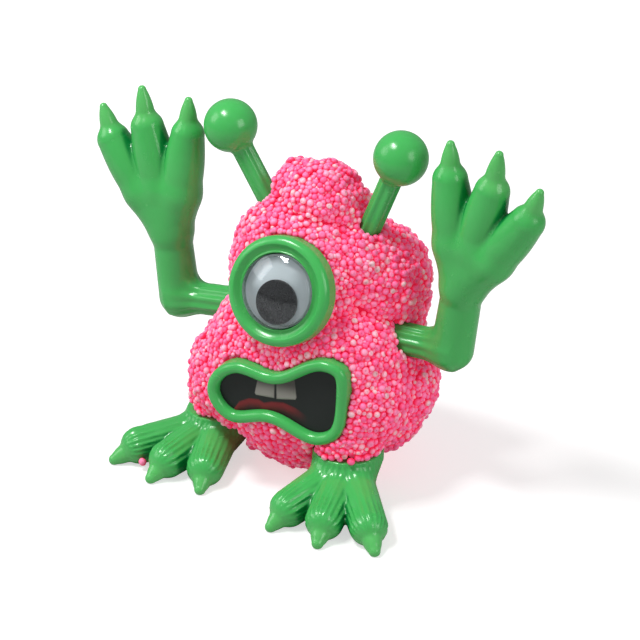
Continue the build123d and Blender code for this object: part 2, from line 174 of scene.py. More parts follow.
def along_limb(points, start, end):
    """Share of the way from start to end (0 to 1) and distance from the line, for each point."""
    start, end = np.array(start, float), np.array(end, float)
    run = end - start
    share = np.clip((points - start) @ run / (run @ run), 0, 1)
    return share, np.linalg.norm(points - start - share[:, None] * run, axis=1)


def limb(points, start, end, start_radius, end_radius):
    """A ball-ended limb between two points."""
    share, away = along_limb(points, start, end)
    return away - start_radius - share * (end_radius - start_radius)


def claw(points, start, end, radius, tip_radius):
    """A claw that stays plump and then closes to a blunt tip; blunting keeps its reach."""
    start, end = np.array(start, float), np.array(end, float)
    end = end - CLAW_BLUNTING * (end - start) / np.linalg.norm(end - start)
    tip_radius = tip_radius + CLAW_BLUNTING
    share, away = along_limb(points, start, end)
    return away - tip_radius - (radius - tip_radius) * (1 - share ** 2.6)


def polar_about(points, origin, axis):
    """Distance along an axis, distance from it and angle round it, for each point."""
    axis = np.array(axis, float)
    across = np.cross(axis, (0.0, 1.0, 0.0) if abs(axis[1]) < 0.9 else (0.0, 0.0, 1.0))
    across /= np.linalg.norm(across)
    up = np.cross(axis, across)
    offset = points - origin
    along, first, second = offset @ axis, offset @ across, offset @ up
    return along, np.hypot(first, second), np.arctan2(second, first)


def fluted_stem(points, origin, axis, radius, length, flutes, depth):
    """A round stem from origin along axis, with shallow grooves along it."""
    along, away, angle = polar_about(points, origin, axis)
    grooves = depth * (0.5 - 0.5 * np.cos(flutes * angle + 0.9 * np.sin(2 * angle + 1)))
    side = away - radius + grooves
    return cut(np.maximum(side, along - length), along, 0.2)


# ---- Meshing ------------------------------------------------------------------------------------
def surface_nets(field, low, high, step):
    """Points and quads on the zero level of a field, inside a box."""
    low = np.array(low, float)
    counts = np.ceil((np.array(high, float) - low) / step).astype(int) + 1
    lines = [low[i] + step * np.arange(counts[i]) for i in range(3)]
    grid = np.stack(np.meshgrid(*lines, indexing="ij"), axis=-1).reshape(-1, 3)
    values = np.concatenate([field(part) for part in np.array_split(grid, max(1, len(grid) // 200000))])
    values = values.reshape(tuple(counts))
    size = int(np.prod(counts))
    totals, hits, quads = np.zeros((size, 3)), np.zeros(size), []
    for axis in range(3):
        first = values.take(range(counts[axis] - 1), axis)
        second = values.take(range(1, counts[axis]), axis)
        crossed = (first < 0) != (second < 0)
        cells = np.argwhere(crossed)
        start, stop = first[crossed], second[crossed]
        places = cells.astype(float)
        places[:, axis] += start / (start - stop)
        corner_ids = []
        for back in ((0, 0), (1, 0), (1, 1), (0, 1)):
            corner = cells.copy()
            corner[:, (axis + 1) % 3] -= back[0]
            corner[:, (axis + 2) % 3] -= back[1]
            ids = np.ravel_multi_index(corner.T, tuple(counts))
            hits += np.bincount(ids, minlength=size)
            for i in range(3):
                totals[:, i] += np.bincount(ids, weights=places[:, i], minlength=size)
            corner_ids.append(ids)
        ring = np.stack(corner_ids, axis=1)
        ring[start >= 0] = ring[start >= 0][:, ::-1]
        quads.append(ring)
    used = hits > 0
    order = np.cumsum(used) - 1
    points = low + step * totals[used] / hits[used][:, None]
    return points, order[np.concatenate(quads)]


def slope_of(field, points, reach):
    """Outward unit direction of a field at points."""
    steps = reach * np.eye(3)
    slope = np.stack([field(points + step) - field(points - step) for step in steps], axis=1)
    return slope / np.maximum(np.linalg.norm(slope, axis=1), 1e-9)[:, None]


def settle(field, points, reach):
    """Pull points onto the zero level, and give the outward direction there."""
    for _ in range(2):
        outward = slope_of(field, points, reach)
        points = points - outward * np.clip(field(points), -reach, reach)[:, None]
    return points, slope_of(field, points, reach)


def hollowness(field, points, outward, reach):
    """0 on open surfaces, towards 1 deep in a crease."""
    return np.clip(1 - field(points + outward * reach) / reach, 0, 1)


def add_mesh(name, points, faces, material, colours=None):
    """A mesh object from millimetre points, with an optional colour for each point."""
    mesh = bpy.data.meshes.new(name)
    mesh.from_pydata((np.asarray(points) * MM).tolist(), [], faces)
    mesh.polygons.foreach_set("use_smooth", [True] * len(mesh.polygons))
    if colours is not None:
        tint = mesh.attributes.new("Tint", "FLOAT_COLOR", "POINT")
        rows = np.ones((len(points), 4))
        rows[:, :3] = colours
        tint.data.foreach_set("color", rows.ravel())
    mesh.materials.append(material)
    mesh.update()
    piece = bpy.data.objects.new(name, mesh)
    bpy.context.scene.collection.objects.link(piece)
    return piece


def box_of(node):
    """A CAD node's low and high corners in millimetres."""
    return (np.array(corner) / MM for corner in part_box(node))


def stand_for(piece, body, slot, *nodes):
    """Put a piece on its body in place of its CAD nodes; the slot argument is not used."""
    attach(piece, body)
    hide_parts(*nodes)


# ---- Materials ----------------------------------------------------------------------------------
def new_material(name, roughness):
    """A material and its node tree and main shader."""
    material = bpy.data.materials.new(name)
    material.use_nodes = True
    tree = material.node_tree
    shader = tree.nodes["Principled BSDF"]
    shader.inputs["Roughness"].default_value = roughness
    return material, tree, shader


def noise(tree, scale, detail=3.0):
    """A noise texture on object coordinates; scale is in features per metre."""
    place = tree.nodes.new("ShaderNodeTexCoord")
    texture = tree.nodes.new("ShaderNodeTexNoise")
    texture.inputs["Scale"].default_value = scale
    texture.inputs["Detail"].default_value = detail
    tree.links.new(place.outputs["Object"], texture.inputs["Vector"])
    return texture.outputs["Fac"]


def remap(tree, value, low, high):
    """A 0 to 1 value spread from low to high."""
    node = tree.nodes.new("ShaderNodeMapRange")
    node.inputs["From Min"].default_value = 0.3
    node.inputs["From Max"].default_value = 0.7
    node.inputs["To Min"].default_value = low
    node.inputs["To Max"].default_value = high
    tree.links.new(value, node.inputs["Value"])
    return node.outputs["Result"]


def bump(tree, shader, height, depth):
    """Relief of depth metres from a height value."""
    node = tree.nodes.new("ShaderNodeBump")
    node.inputs["Distance"].default_value = depth
    tree.links.new(height, node.inputs["Height"])
    tree.links.new(node.outputs["Normal"], shader.inputs["Normal"])


def tinted(tree, shader, low, high, scale):
    """Base colour from the piece's point colours, lightly mottled."""
    tint = tree.nodes.new("ShaderNodeAttribute")
    tint.attribute_name = "Tint"
    mottle = tree.nodes.new("ShaderNodeVectorMath")
    mottle.operation = "SCALE"
    tree.links.new(tint.outputs["Color"], mottle.inputs[0])
    tree.links.new(remap(tree, noise(tree, scale), low, high), mottle.inputs["Scale"])
    tree.links.new(mottle.outputs["Vector"], shader.inputs["Base Color"])


def uneven_gloss(tree, shader, low, high, scale):
    """Roughness that wanders from low to high."""
    tree.links.new(remap(tree, noise(tree, scale), low, high), shader.inputs["Roughness"])


def soft_plastic():
    """Satin-glossy soft moulding plastic that lets a little light through."""
    material, tree, shader = new_material("green_soft_plastic", 0.27)
    tinted(tree, shader, 0.95, 1.05, 90)
    uneven_gloss(tree, shader, 0.17, 0.28, 260)
    shader.inputs["Subsurface Weight"].default_value = 0.18
    shader.inputs["Subsurface Radius"].default_value = (0.5, 1.0, 0.4)
    shader.inputs["Subsurface Scale"].default_value = 0.0015
    bump(tree, shader, noise(tree, 1500, 2.0), 0.00002)
    return material


def bead_foam():
    """Matte fluorescent-pink dyed foam with a painted red glow that lifts its shade, and painted light making
    each ball paler on top.
    """
    material, tree, shader = new_material("pink_bead_foam", 0.5)
    tinted(tree, shader, 0.94, 1.06, 700)
    uneven_gloss(tree, shader, 0.38, 0.6, 900)
    shader.inputs["Subsurface Weight"].default_value = 0.1
    # painted glow: the foam is no lamp; this faint red emission lifts its shade towards red
    shader.inputs["Emission Color"].default_value = (1.0, 0.03, 0.14, 1)
    shader.inputs["Emission Strength"].default_value = 0.19
    shader.inputs["Subsurface Radius"].default_value = (1.0, 0.3, 0.5)
    shader.inputs["Subsurface Scale"].default_value = 0.0008
    bump(tree, shader, noise(tree, 3200, 2.0), 0.00003)
    return material


def printed_mouth():
    """Glossy printed plate, coloured point by point."""
    material, tree, shader = new_material("mouth_print", 0.3)
    tinted(tree, shader, 0.97, 1.03, 300)
    shader.inputs["Specular IOR Level"].default_value = 0.2
    bump(tree, shader, noise(tree, 2500, 2.0), 0.00001)
    return material


def white_cup():
    """Milky grey-white backing of the wobbly eye."""
    material, tree, shader = new_material("eye_white_card", 0.4)
    tinted(tree, shader, 0.985, 1.015, 200)
    bump(tree, shader, noise(tree, 2000, 2.0), 0.00001)
    return material


def black_disc():
    """Smooth black plastic with faint scuffs."""
    material, tree, shader = new_material("pupil_black", 0.3)
    tinted(tree, shader, 0.9, 1.1, 400)
    uneven_gloss(tree, shader, 0.2, 0.4, 1200)
    return material


def clear_dome():
    """Thin clear shell: see-through face on, mirror-like at a slant."""
    material, tree, shader = new_material("clear_dome", 0.03)
    fresnel = tree.nodes.new("ShaderNodeFresnel")
    fresnel.inputs["IOR"].default_value = 1.6
    haze = tree.nodes.new("ShaderNodeMath")
    haze.operation = "MULTIPLY_ADD"
    haze.inputs[1].default_value = 0.55
    haze.inputs[2].default_value = 0.01
    haze.use_clamp = True
    tree.links.new(fresnel.outputs["Fac"], haze.inputs[0])
    tree.links.new(haze.outputs["Value"], shader.inputs["Alpha"])
    uneven_gloss(tree, shader, 0.02, 0.05, 300)
    shader.inputs["Base Color"].default_value = (0.93, 0.96, 1.0, 1)
    shader.inputs["Metallic"].default_value = 1.0
    return material


PLASTIC, FOAM, PRINT = soft_plastic(), bead_foam(), printed_mouth()
CUP, PUPIL, DOME = white_cup(), black_disc(), clear_dome()


# ---- Soft-plastic mouldings ---------------------------------------------------------------------
def green_tint(field, points, outward, pale):
    """Painted shade: darker green in the creases, where shade falls; plain green outside, paler where pale is
    1.
    """
    # painted shade: the deeper the crease, the more of the dark crease green
    crease = smoothstep(0.12, 0.75, hollowness(field, points, outward, CREASE_REACH))
    colour = blend_colours(rgb(GREEN), rgb(GREEN_CREASE_SHADE), crease)
    return colour + (rgb(GREEN_PALE) - colour) * (PALENESS * np.asarray(pale) * (1 - crease))[:, None]


def moulding(body, field, margin, step, pale):
    """Mesh a soft-plastic field around a body's CAD box, colour it and put it in the body's place."""
    low, high = box_of(body)
    points, faces = surface_nets(field, low - margin, high + margin, step)
    points, outward = settle(field, points, 0.4 * step)
    tint = green_tint(field, points, outward, pale(points))
    piece = add_mesh(body + "_moulding", points, faces.tolist(), PLASTIC, tint)
    stand_for(piece, body, "green_plastic", body)


def turned(axis, degrees):
    """Rotation matrix about a named axis or a direction."""
    return np.array(Matrix.Rotation(radians(degrees), 3, axis))


def joint_place(name):
    """A joint's position in millimetres and its axis."""
    joint = JOINTS[name]
    return np.array(joint["pos_m"]) / MM, np.array(joint["axis"], float)


def arm(side, name, lean, swing):
    """Fluted stem, bent elbow, forearm and a three-fingered hand."""
    elbow, axis = joint_place(name + "_turn")
    inward = -side * axis
    place = turned("X", swing) @ np.diag((side, 1, 1)) @ turned("Y", lean) @ turned("Z", -HAND_YAW)
    palm_root = (0, 0, FOREARM_LENGTH + 1.0)

    def in_hand(pair):
        return (pair[0], 0, FOREARM_LENGTH + pair[1])

    def field(points):
        local = (points - elbow) @ place
        forearm = limb(local, (0, 0, 0), (0, 0, FOREARM_LENGTH), ELBOW_RADIUS, WRIST_RADIUS)
        stem = fluted_stem(points, elbow, inward, ARM_STEM_RADIUS, ARM_STEM_LENGTH,
                           ARM_FLUTES, ARM_FLUTE_DEPTH)
        body = union(forearm, stem, 3.2)
        palm = None
        for base, _, _ in FINGERS:
            lobe = limb(local, palm_root, in_hand(base), PALM_ROOT_RADIUS, PALM_RADIUS)
            palm = lobe if palm is None else union(palm, lobe, 2.2)
        fingers = None
        for base, fingertip, claw_tip in FINGERS:
            start, end = in_hand(base), in_hand(fingertip)
            share, _ = along_limb(local, start, end)
            finger = limb(local, start, end, FINGER_BASE_RADIUS, FINGER_TIP_RADIUS)
            finger = finger - FINGER_SWELL * np.sin(pi * share)
            nail = claw(local, end, in_hand(claw_tip), CLAW_RADIUS, CLAW_TIP_RADIUS)
            finger = union(finger, nail, 0.9)
            fingers = finger if fingers is None else union(fingers, finger, 0.9)
        for root, tip in WEBS:
            web = limb(local, in_hand(root), in_hand(tip), WEB_ROOT_RADIUS, WEB_TIP_RADIUS)
            palm = union(palm, web, 1.5)
        hand = union(palm, fingers, 1.6)
        return union(body, hand, 0.7)

    def pale(points):
        local = (points - elbow) @ place
        shares = []
        for _, fingertip, claw_tip in FINGERS:
            run = np.array((claw_tip[0] - fingertip[0], 0, claw_tip[1] - fingertip[1]))
            shares.append(smoothstep(2.2, 5.0, (local - in_hand(fingertip)) @ run / np.linalg.norm(run)))
        return np.max(shares, axis=0)

    moulding(name, field, ARM_MARGIN, ARM_GRID, pale)
    return field


def antenna_place(side, name):
    """Centre of an antenna's ball, from its CAD box, and the direction its stem runs in."""
    low, high = box_of(name)
    outer_x = high[0] - ANTENNA_BALL_RADIUS if side > 0 else low[0] + ANTENNA_BALL_RADIUS
    centre = np.array((outer_x, (low[1] + high[1]) / 2, high[2] - ANTENNA_BALL_RADIUS))
    return centre, -np.array(JOINTS[name + "_pull"]["axis"], float)


def antenna(side, name):
    """Glossy ball on a fluted stem."""
    centre, inward = antenna_place(side, name)

    def field(points):
        ball = np.linalg.norm(points - centre, axis=1) - ANTENNA_BALL_RADIUS
        stem = fluted_stem(points, centre, inward, ANTENNA_STEM_RADIUS, ANTENNA_STEM_LENGTH,
                           ANTENNA_FLUTES, ANTENNA_FLUTE_DEPTH)
        return union(ball, stem, 0.9)

    moulding(name, field, ANTENNA_MARGIN, ANTENNA_GRID, lambda points: np.zeros(len(points)))


def ankle_on_floor(name):
    """The point on the floor under a foot's peg."""
    ankle, _ = joint_place(name + "_turn")
    return ankle * (1, 1, 0)


def foot(side, name, rise):
    """Cuff with a rim, three ribbed toes with rounded claws, a flat sole and a peg."""
    ankle = ankle_on_floor(name)
    place = turned("Z", side * FOOT_SPLAY) @ np.diag((side, 1, 1))
    brim = CUFF_TOP + rise

    def toe_frame(toe):
        """Outward and across directions, instep, knuckle and claw tip of a toe."""
        angle, to_knuckle, to_claw = toe
        outward = np.array((sin(radians(angle)), -cos(radians(angle)), 0))
        across = np.array((cos(radians(angle)), sin(radians(angle)), 0))
        instep = outward * INSTEP_OUT + np.array((0, 0, INSTEP_HEIGHT + 0.85 * rise))
        knuckle = outward * to_knuckle + np.array((0, 0, TOE_HEIGHT))
        tip = outward * to_claw + np.array((0, 0, TOE_CLAW_TIP))
        return outward, across, instep, knuckle, tip

    def toe_field(local, toe):
        outward, across, instep, knuckle, _ = toe_frame(toe)
        share = np.clip((local @ outward - INSTEP_OUT) / (toe[1] - INSTEP_OUT), 0, 1.3)
        spine = instep[2] + share * (knuckle[2] - instep[2])
        angle = np.arctan2(local @ across, local[:, 2] - spine)
        ribs = 0.5 + 0.5 * np.cos(TOE_RIBS * angle + 1.2 * np.sin(3 * angle + toe[0]) + 1.5 * share)
        strength = 0.14 + 0.26 * smoothstep(0.72, 0.95, share) * (1 - smoothstep(1.08, 1.2, share))
        strength = strength * smoothstep(2.3, 1.1, np.abs(angle))
        shape = limb(local, instep, knuckle, INSTEP_RADIUS, TOE_RADIUS)
        return shape + (1 - ribs) * strength * smoothstep(0.0, 0.1, share)

    def field(points):
        local = (points - ankle) @ place
        away = np.hypot(local[:, 0], local[:, 1])
        height = local[:, 2]
        taper = CUFF_FOOT_RADIUS + (CUFF_RADIUS - CUFF_FOOT_RADIUS) * smoothstep(
            CUFF_FOOT_HEIGHT, brim - CUFF_RIM + 0.6, height)
        turn = np.arctan2(local[:, 0], -local[:, 1])
        flutes = CUFF_FLUTE_DEPTH * (0.5 - 0.5 * np.cos(CUFF_FLUTES * turn))
        flutes = flutes * smoothstep(brim, brim - 1.2, height)
        cuff = np.maximum(np.maximum(away - taper + flutes, height - brim), CUFF_FOOT_HEIGHT - height)
        toes, claws = None, None
        for toe in TOES:
            knuckle, tip = toe_frame(toe)[-2:]
            shape = toe_field(local, toe)
            nail = claw(local, knuckle, tip, TOE_CLAW_RADIUS + 0.2, TOE_CLAW_TIP)
            toes = shape if toes is None else union(toes, shape, 0.8)
            claws = nail if claws is None else np.minimum(claws, nail)
        body = union(union(toes, cuff, 3.4), claws, 0.5)
        body = np.maximum(body, height - brim)
        peg = np.maximum(away - FOOT_PEG_RADIUS, np.abs(height - CUFF_TOP) - FOOT_PEG_LENGTH)
        peg = np.maximum(peg, CUFF_TOP - 2 - height)
        return cut(union(body, peg, 0.3), height, 0.3)

    def pale(points):
        local = (points - ankle) @ place
        shares = []
        for toe in TOES:
            knuckle, tip = toe_frame(toe)[-2:]
            direction = (tip - knuckle) / np.linalg.norm(tip - knuckle)
            shares.append(smoothstep(2.0, 5.0, (local - knuckle) @ direction))
        return np.max(shares, axis=0)

    moulding(name, field, FOOT_MARGIN, FOOT_GRID, pale)
    return field


antenna(1, "antenna_left")
antenna(-1, "antenna_right")
TURNING = {
    "arm_left_turn": arm(1, "arm_left", LEFT_LEAN, LEFT_SWING),
    "arm_right_turn": arm(-1, "arm_right", RIGHT_LEAN, 0.0),
    "foot_left_turn": foot(1, "foot_left", LEFT_CUFF_RISE),
    "foot_right_turn": foot(-1, "foot_right", RIGHT_CUFF_RISE),
}
SWEEP_STEPS = 13


# ---- Turned pieces of the eye -------------------------------------------------------------------
EYE_CENTRE, EYE_AXIS = joint_place("pupil_roll")
EYE_RIGHT = np.cross((0.0, 0.0, 1.0), -EYE_AXIS)
EYE_RIGHT /= -np.linalg.norm(EYE_RIGHT)
EYE_UP = np.cross(EYE_AXIS, EYE_RIGHT)
ROUND_STEPS = 160
ON_AXIS = 1e-6


def on_eye(right, up, out):
    """Frame points from the eye's own coordinates."""
    return (EYE_CENTRE + np.outer(np.ravel(right), EYE_RIGHT) + np.outer(np.ravel(up), EYE_UP)
            + np.outer(np.ravel(out), EYE_AXIS))


def profile_values(profile):
    """Radius and height of each point that lathe makes of a profile."""
    counts = [1 if radius < ON_AXIS else ROUND_STEPS for radius, _ in profile]
    return np.repeat(np.array(profile, float), counts, axis=0).T


def lathe(profile, middle=(0.0, 0.0)):
    """Points and faces of an outline of (radius, height) spun about a line along the eye's axis."""
    points, rings = [], []
    for radius, height in profile:
        if radius < ON_AXIS:
            rings.append([len(points)])
            points.append((middle[0], middle[1], height))
        else:
            rings.append(list(range(len(points), len(points) + ROUND_STEPS)))
            for i in range(ROUND_STEPS):
                turn = 2 * pi * i / ROUND_STEPS
                points.append((middle[0] + radius * cos(turn), middle[1] + radius * sin(turn), height))
    faces = []
    loops = list(zip(rings, rings[1:]))
    if len(rings[0]) > 1:
        loops.append((rings[-1], rings[0]))
    for low, high in loops:
        for i in range(ROUND_STEPS):
            after = (i + 1) % ROUND_STEPS
            if len(low) == 1:
                faces.append((low[0], high[after], high[i]))
            elif len(high) == 1:
                faces.append((low[i], low[after], high[0]))
            else:
                faces.append((low[i], low[after], high[after], high[i]))
    points = np.array(points)
    return on_eye(points[:, 0], points[:, 1], points[:, 2]), faces


def arc(centre, radius, start, stop, count):
    """Points on an arc, from start to stop degrees."""
    return [(centre[0] + radius * cos(radians(start + (stop - start) * i / count)),
             centre[1] + radius * sin(radians(start + (stop - start) * i / count))) for i in range(count + 1)]


def line(start, end, count):
    """Points evenly from start to end."""
    return [(start[0] + (end[0] - start[0]) * i / count, start[1] + (end[1] - start[1]) * i / count)
            for i in range(count + 1)]


def tidy_profile(points):
    """Without repeated neighbours."""
    kept = [points[0]]
    for point in points[1:]:
        if abs(point[0] - kept[-1][0]) + abs(point[1] - kept[-1][1]) > ON_AXIS:
            kept.append(point)
    return kept


DISH_STEPS, SEAT_ROUNDING = 14, 0.25


def eye_ring():
    """Dished ring with a soft crest, a recess for the eye, and a peg, with painted shade across the dish and
    painted shadow down in the recess.
    """
    crest = RING_RADIUS - RING_EDGE
    shares = [i / DISH_STEPS for i in range(DISH_STEPS + 1)]
    dish = [(crest + (EYE_SEAT_RADIUS + SEAT_ROUNDING - crest) * share,
             -DISH_DEPTH * sin(pi * 0.5 * share) ** 0.9 * (1 - 0.35 * share ** 6)) for share in shares]
    profile = [(0, -RING_DEPTH - RING_PEG_LENGTH + 0.5)]
    profile += arc((RING_PEG_RADIUS - 0.5, -RING_DEPTH - RING_PEG_LENGTH + 1.0), 0.5, -90, 0, 5)
    profile += line((RING_PEG_RADIUS, -RING_DEPTH - 4), (RING_PEG_RADIUS, -RING_DEPTH), 3)
    profile += line((RING_PEG_RADIUS + 0.1, -RING_DEPTH), (RING_RADIUS - 0.4, -RING_DEPTH), 6)
    profile += arc((RING_RADIUS - 0.35, -RING_DEPTH + 0.35), 0.35, -90, 0, 4)
    profile += line((RING_RADIUS, -RING_DEPTH + 0.6), (RING_RADIUS, -RING_EDGE - 0.2), 4)
    profile += arc((crest, -RING_EDGE), RING_EDGE, 0, 90, 14)
    profile += dish
    profile += arc((EYE_SEAT_RADIUS + SEAT_ROUNDING, dish[-1][1] - SEAT_ROUNDING), SEAT_ROUNDING, 90, 180, 4)
    profile += line((EYE_SEAT_RADIUS, dish[-1][1] - 0.4), (EYE_SEAT_RADIUS, -SEAT_DEPTH), 3)
    profile += line((EYE_SEAT_RADIUS - 0.1, -SEAT_DEPTH), (0, -SEAT_DEPTH), 5)
    profile = tidy_profile(profile)
    points, faces = lathe(profile)
    radii, heights = profile_values(profile)
    # painted shade: darker green across the dish, inward from the crest
    colour = blend_colours(rgb(GREEN), rgb(DISH_SHADE_GREEN), smoothstep(crest + 0.4, crest - 1.6, radii))
    # painted shadow: darkest green down the recess wall round the eye
    low = smoothstep(-1.2, -2.2, heights) * (radii < EYE_SEAT_RADIUS + 0.1)
    colour = colour + (rgb(SEAT_SHADOW_GREEN) - colour) * low[:, None]
    piece = add_mesh("eye_ring_moulding", points, faces, PLASTIC, colour)
    stand_for(piece, "eye", "green_plastic", "eye_ring")


def cap(radius, base, rise, count):
    """Outline of a spherical cap from its rim to the axis."""
    sphere = (radius ** 2 + rise ** 2) / (2 * rise)
    spread = np.arcsin(radius / sphere)
    angles = [spread * (1 - i / count) for i in range(count)]
    bottom = base + rise - sphere
    return [(sphere * sin(angle), bottom + sphere * cos(angle)) for angle in angles] + [(0.0, base + rise)]


def eye_cup():
    """Backing disc of the wobbly eye, with a pressed rim and painted light: a little paler near its edge, for
    the bright ring at the dome's edge.
    """
    back = -SEAT_DEPTH + 0.02
    front = -SEAT_DEPTH + CUP_THICKNESS
    inner = EYE_RADIUS - DOME_WALL
    profile = [(0, back), (inner * 0.5, back), (EYE_RADIUS - 0.2, back), (EYE_RADIUS - 0.03, back + 0.15),
               (EYE_RADIUS - 0.03, front - 0.1), (EYE_RADIUS - 0.15, front - 0.02), (inner, front - 0.02)]
    profile += [(inner * (1 - i / 12), front - 0.05) for i in range(1, 12)] + [(0, front - 0.05)]
    points, faces = lathe(profile)
    radii, _ = profile_values(profile)
    # painted light: paler towards the edge, for the bright ring the clear dome shows there
    colour = blend_colours(rgb(CUP_MIDDLE), rgb(CUP_RIM_LIGHT), smoothstep(5.5, 8.3, radii))
    piece = add_mesh("eye_cup_card", points, faces, CUP, colour)
    stand_for(piece, "eye", "eye_white", "eye_cup")


def eye_dome():
    """Clear domed shell with a skirt."""
    back = CUP_THICKNESS - SEAT_DEPTH
    shoulder = back + DOME_SKIRT
    inner = EYE_RADIUS - DOME_WALL
    outer_cap = cap(EYE_RADIUS, shoulder, DOME_RISE, 28)
    inner_cap = cap(inner, shoulder - DOME_WALL / 2, DOME_RISE - DOME_WALL / 2, 28)
    outside = line((EYE_RADIUS - 0.15, back + 0.01), (EYE_RADIUS, back + 0.2), 1)
    outside += line((EYE_RADIUS, back + 0.3), (EYE_RADIUS, shoulder - 0.1), 3) + outer_cap
    inside = inner_cap[::-1] + line((inner, shoulder - DOME_WALL / 2 - 0.2), (inner, back + 0.01), 3)
    outer_points, outer_faces = lathe(tidy_profile(outside)[::-1])
    inner_points, inner_faces = lathe(tidy_profile(inside))
    outer_rim = len(outer_points) - ROUND_STEPS
    inner_rim = len(outer_points) + len(inner_points) - ROUND_STEPS
    shift = len(outer_points)
    faces = [tuple(reversed(face)) for face in outer_faces]
    faces += [tuple(i + shift for i in reversed(face)) for face in inner_faces]
    for i in range(ROUND_STEPS):
        after = (i + 1) % ROUND_STEPS
        faces.append((outer_rim + i, inner_rim + i, inner_rim + after, outer_rim + after))
    piece = add_mesh("eye_dome_shell", np.concatenate([outer_points, inner_points]), faces, DOME)
    stand_for(piece, "eye", "eye_clear", "eye_dome")


def eye_pupil():
    """Loose black disc with rounded edges, resting at the bottom."""
    low = -SEAT_DEPTH + CUP_THICKNESS + PUPIL_GAP
    top = low + PUPIL_THICKNESS
    profile = [(0, low), (PUPIL_RADIUS * 0.5, low)]
    profile += arc((PUPIL_RADIUS - 0.2, low + 0.2), 0.2, -90, 0, 4)
    profile += arc((PUPIL_RADIUS - 0.2, top - 0.2), 0.2, 0, 90, 4)
    profile += [(PUPIL_RADIUS * share, top + 0.03 * (1 - share ** 2)) for share in (0.8, 0.6, 0.4, 0.2)]
    profile += [(0, top + 0.03)]
    points, faces = lathe(profile, (0.0, -PUPIL_ORBIT))
    colour = np.tile(rgb(PUPIL_BLACK), (len(points), 1))
    piece = add_mesh("eye_pupil_disc", points, faces, PUPIL, colour)
    stand_for(piece, "pupil", "eye_black", "eye_pupil")


eye_ring()
eye_cup()
eye_dome()
eye_pupil()


# ---- Mouth --------------------------------------------------------------------------------------
MOUTH_AXIS = np.array(JOINTS["mouth_pull"]["axis"], float)
MOUTH_RIGHT = np.array((-MOUTH_AXIS[1], MOUTH_AXIS[0], 0.0))
OUTLINE_STEPS = 240


def on_mouth(right, up, out):
    """Frame points from the mouth's own coordinates."""
    return (MOUTH_CENTRE + np.outer(np.ravel(right), MOUTH_RIGHT) + np.outer(np.ravel(up), (0, 0, 1))
            + np.outer(np.ravel(out), MOUTH_AXIS))


def closed_spline(knots, count):
    """A smooth closed curve through the knots, spaced by chord length."""
    knots = np.array(knots, float)
    chords = np.linalg.norm(np.roll(knots, -1, axis=0) - knots, axis=1)
    number = len(knots)
    system, right = np.zeros((number, number)), np.zeros((number, 2))
    for i in range(number):
        before, after = chords[i - 1], chords[i]
        system[i, i - 1] = before
        system[i, i] = 2 * (before + after)
        system[i, (i + 1) % number] = after
        rise = (knots[(i + 1) % number] - knots[i]) / after - (knots[i] - knots[i - 1]) / before
        right[i] = 6 * rise
    bends = np.linalg.solve(system, right)
    starts = np.concatenate([[0], np.cumsum(chords)])
    places = np.linspace(0, starts[-1], count, endpoint=False)
    which = np.clip(np.searchsorted(starts, places, side="right") - 1, 0, number - 1)
    after = (which + 1) % number
    gap = chords[which][:, None]
    near = (places - starts[which])[:, None]
    far = gap - near
    return ((bends[which] * far ** 3 + bends[after] * near ** 3) / (6 * gap)
            + (knots[which] / gap - bends[which] * gap / 6) * far
            + (knots[after] / gap - bends[after] * gap / 6) * near)


OUTLINE = closed_spline(LIP_POINTS, OUTLINE_STEPS)
AHEAD = np.roll(OUTLINE, -1, axis=0) - np.roll(OUTLINE, 1, axis=0)
AHEAD /= np.linalg.norm(AHEAD, axis=1)[:, None]
OUTLINE_INWARD = np.stack([AHEAD[:, 1], -AHEAD[:, 0]], axis=1)
PEG_STEPS = 48


def band_faces(start, rings, count):
    """Quads between rings of count points each, the first of which begins at start."""
    faces = []
    for ring in range(rings - 1):
        low, high = start + ring * count, start + (ring + 1) * count
        for i in range(count):
            after = (i + 1) % count
            faces.append((low + i, high + i, high + after, low + after))
    return faces


def mouth_lip():
    """Rounded wavy lip on a back plate with a peg."""
    half = LIP_WIDTH / 2
    section = [(half, -LIP_DEPTH), (0.25, -LIP_DEPTH), (0.02, -LIP_DEPTH + 0.3), (0, -LIP_DEPTH + 1.2)]
    section += [(half - half * cos(radians(a)), -half + half * sin(radians(a))) for a in range(0, 181, 12)]
    section += [(LIP_WIDTH, -2.2), (LIP_WIDTH, -LIP_DEPTH + BACK_PLATE)]
    rings = []
    for inset, out in section:
        ring = OUTLINE + OUTLINE_INWARD * inset
        rings.append(on_mouth(ring[:, 0], ring[:, 1], np.full(OUTLINE_STEPS, out)))
    points = np.concatenate(rings)
    faces = band_faces(0, len(section), OUTLINE_STEPS)
    last = (len(section) - 1) * OUTLINE_STEPS
    faces.append(tuple(range(OUTLINE_STEPS)))
    faces.append(tuple(reversed(range(last, last + OUTLINE_STEPS))))
    peg_start = len(points)
    peg_rings = ((MOUTH_PEG_RADIUS, 0.5 - LIP_DEPTH), (MOUTH_PEG_RADIUS, -LIP_DEPTH - MOUTH_PEG_LENGTH + 1),
                 (MOUTH_PEG_RADIUS - 0.6, 0.5 - LIP_DEPTH - MOUTH_PEG_LENGTH))
    turn = 2 * pi * np.arange(PEG_STEPS) / PEG_STEPS
    across, up = np.cos(turn), np.sin(turn)
    peg = [on_mouth(radius * across, radius * up, np.full(PEG_STEPS, out)) for radius, out in peg_rings]
    points = np.concatenate([points] + peg)
    faces += band_faces(peg_start, len(peg_rings), PEG_STEPS)
    faces.append(tuple(range(peg_start, peg_start + PEG_STEPS)))
    faces.append(tuple(reversed(range(len(points) - PEG_STEPS, len(points)))))
    colour = np.tile(rgb(GREEN), (len(points), 1))
    piece = add_mesh("mouth_lip_moulding", points, faces, PLASTIC, colour)
    stand_for(piece, "mouth", "green_plastic", "mouth_lip")


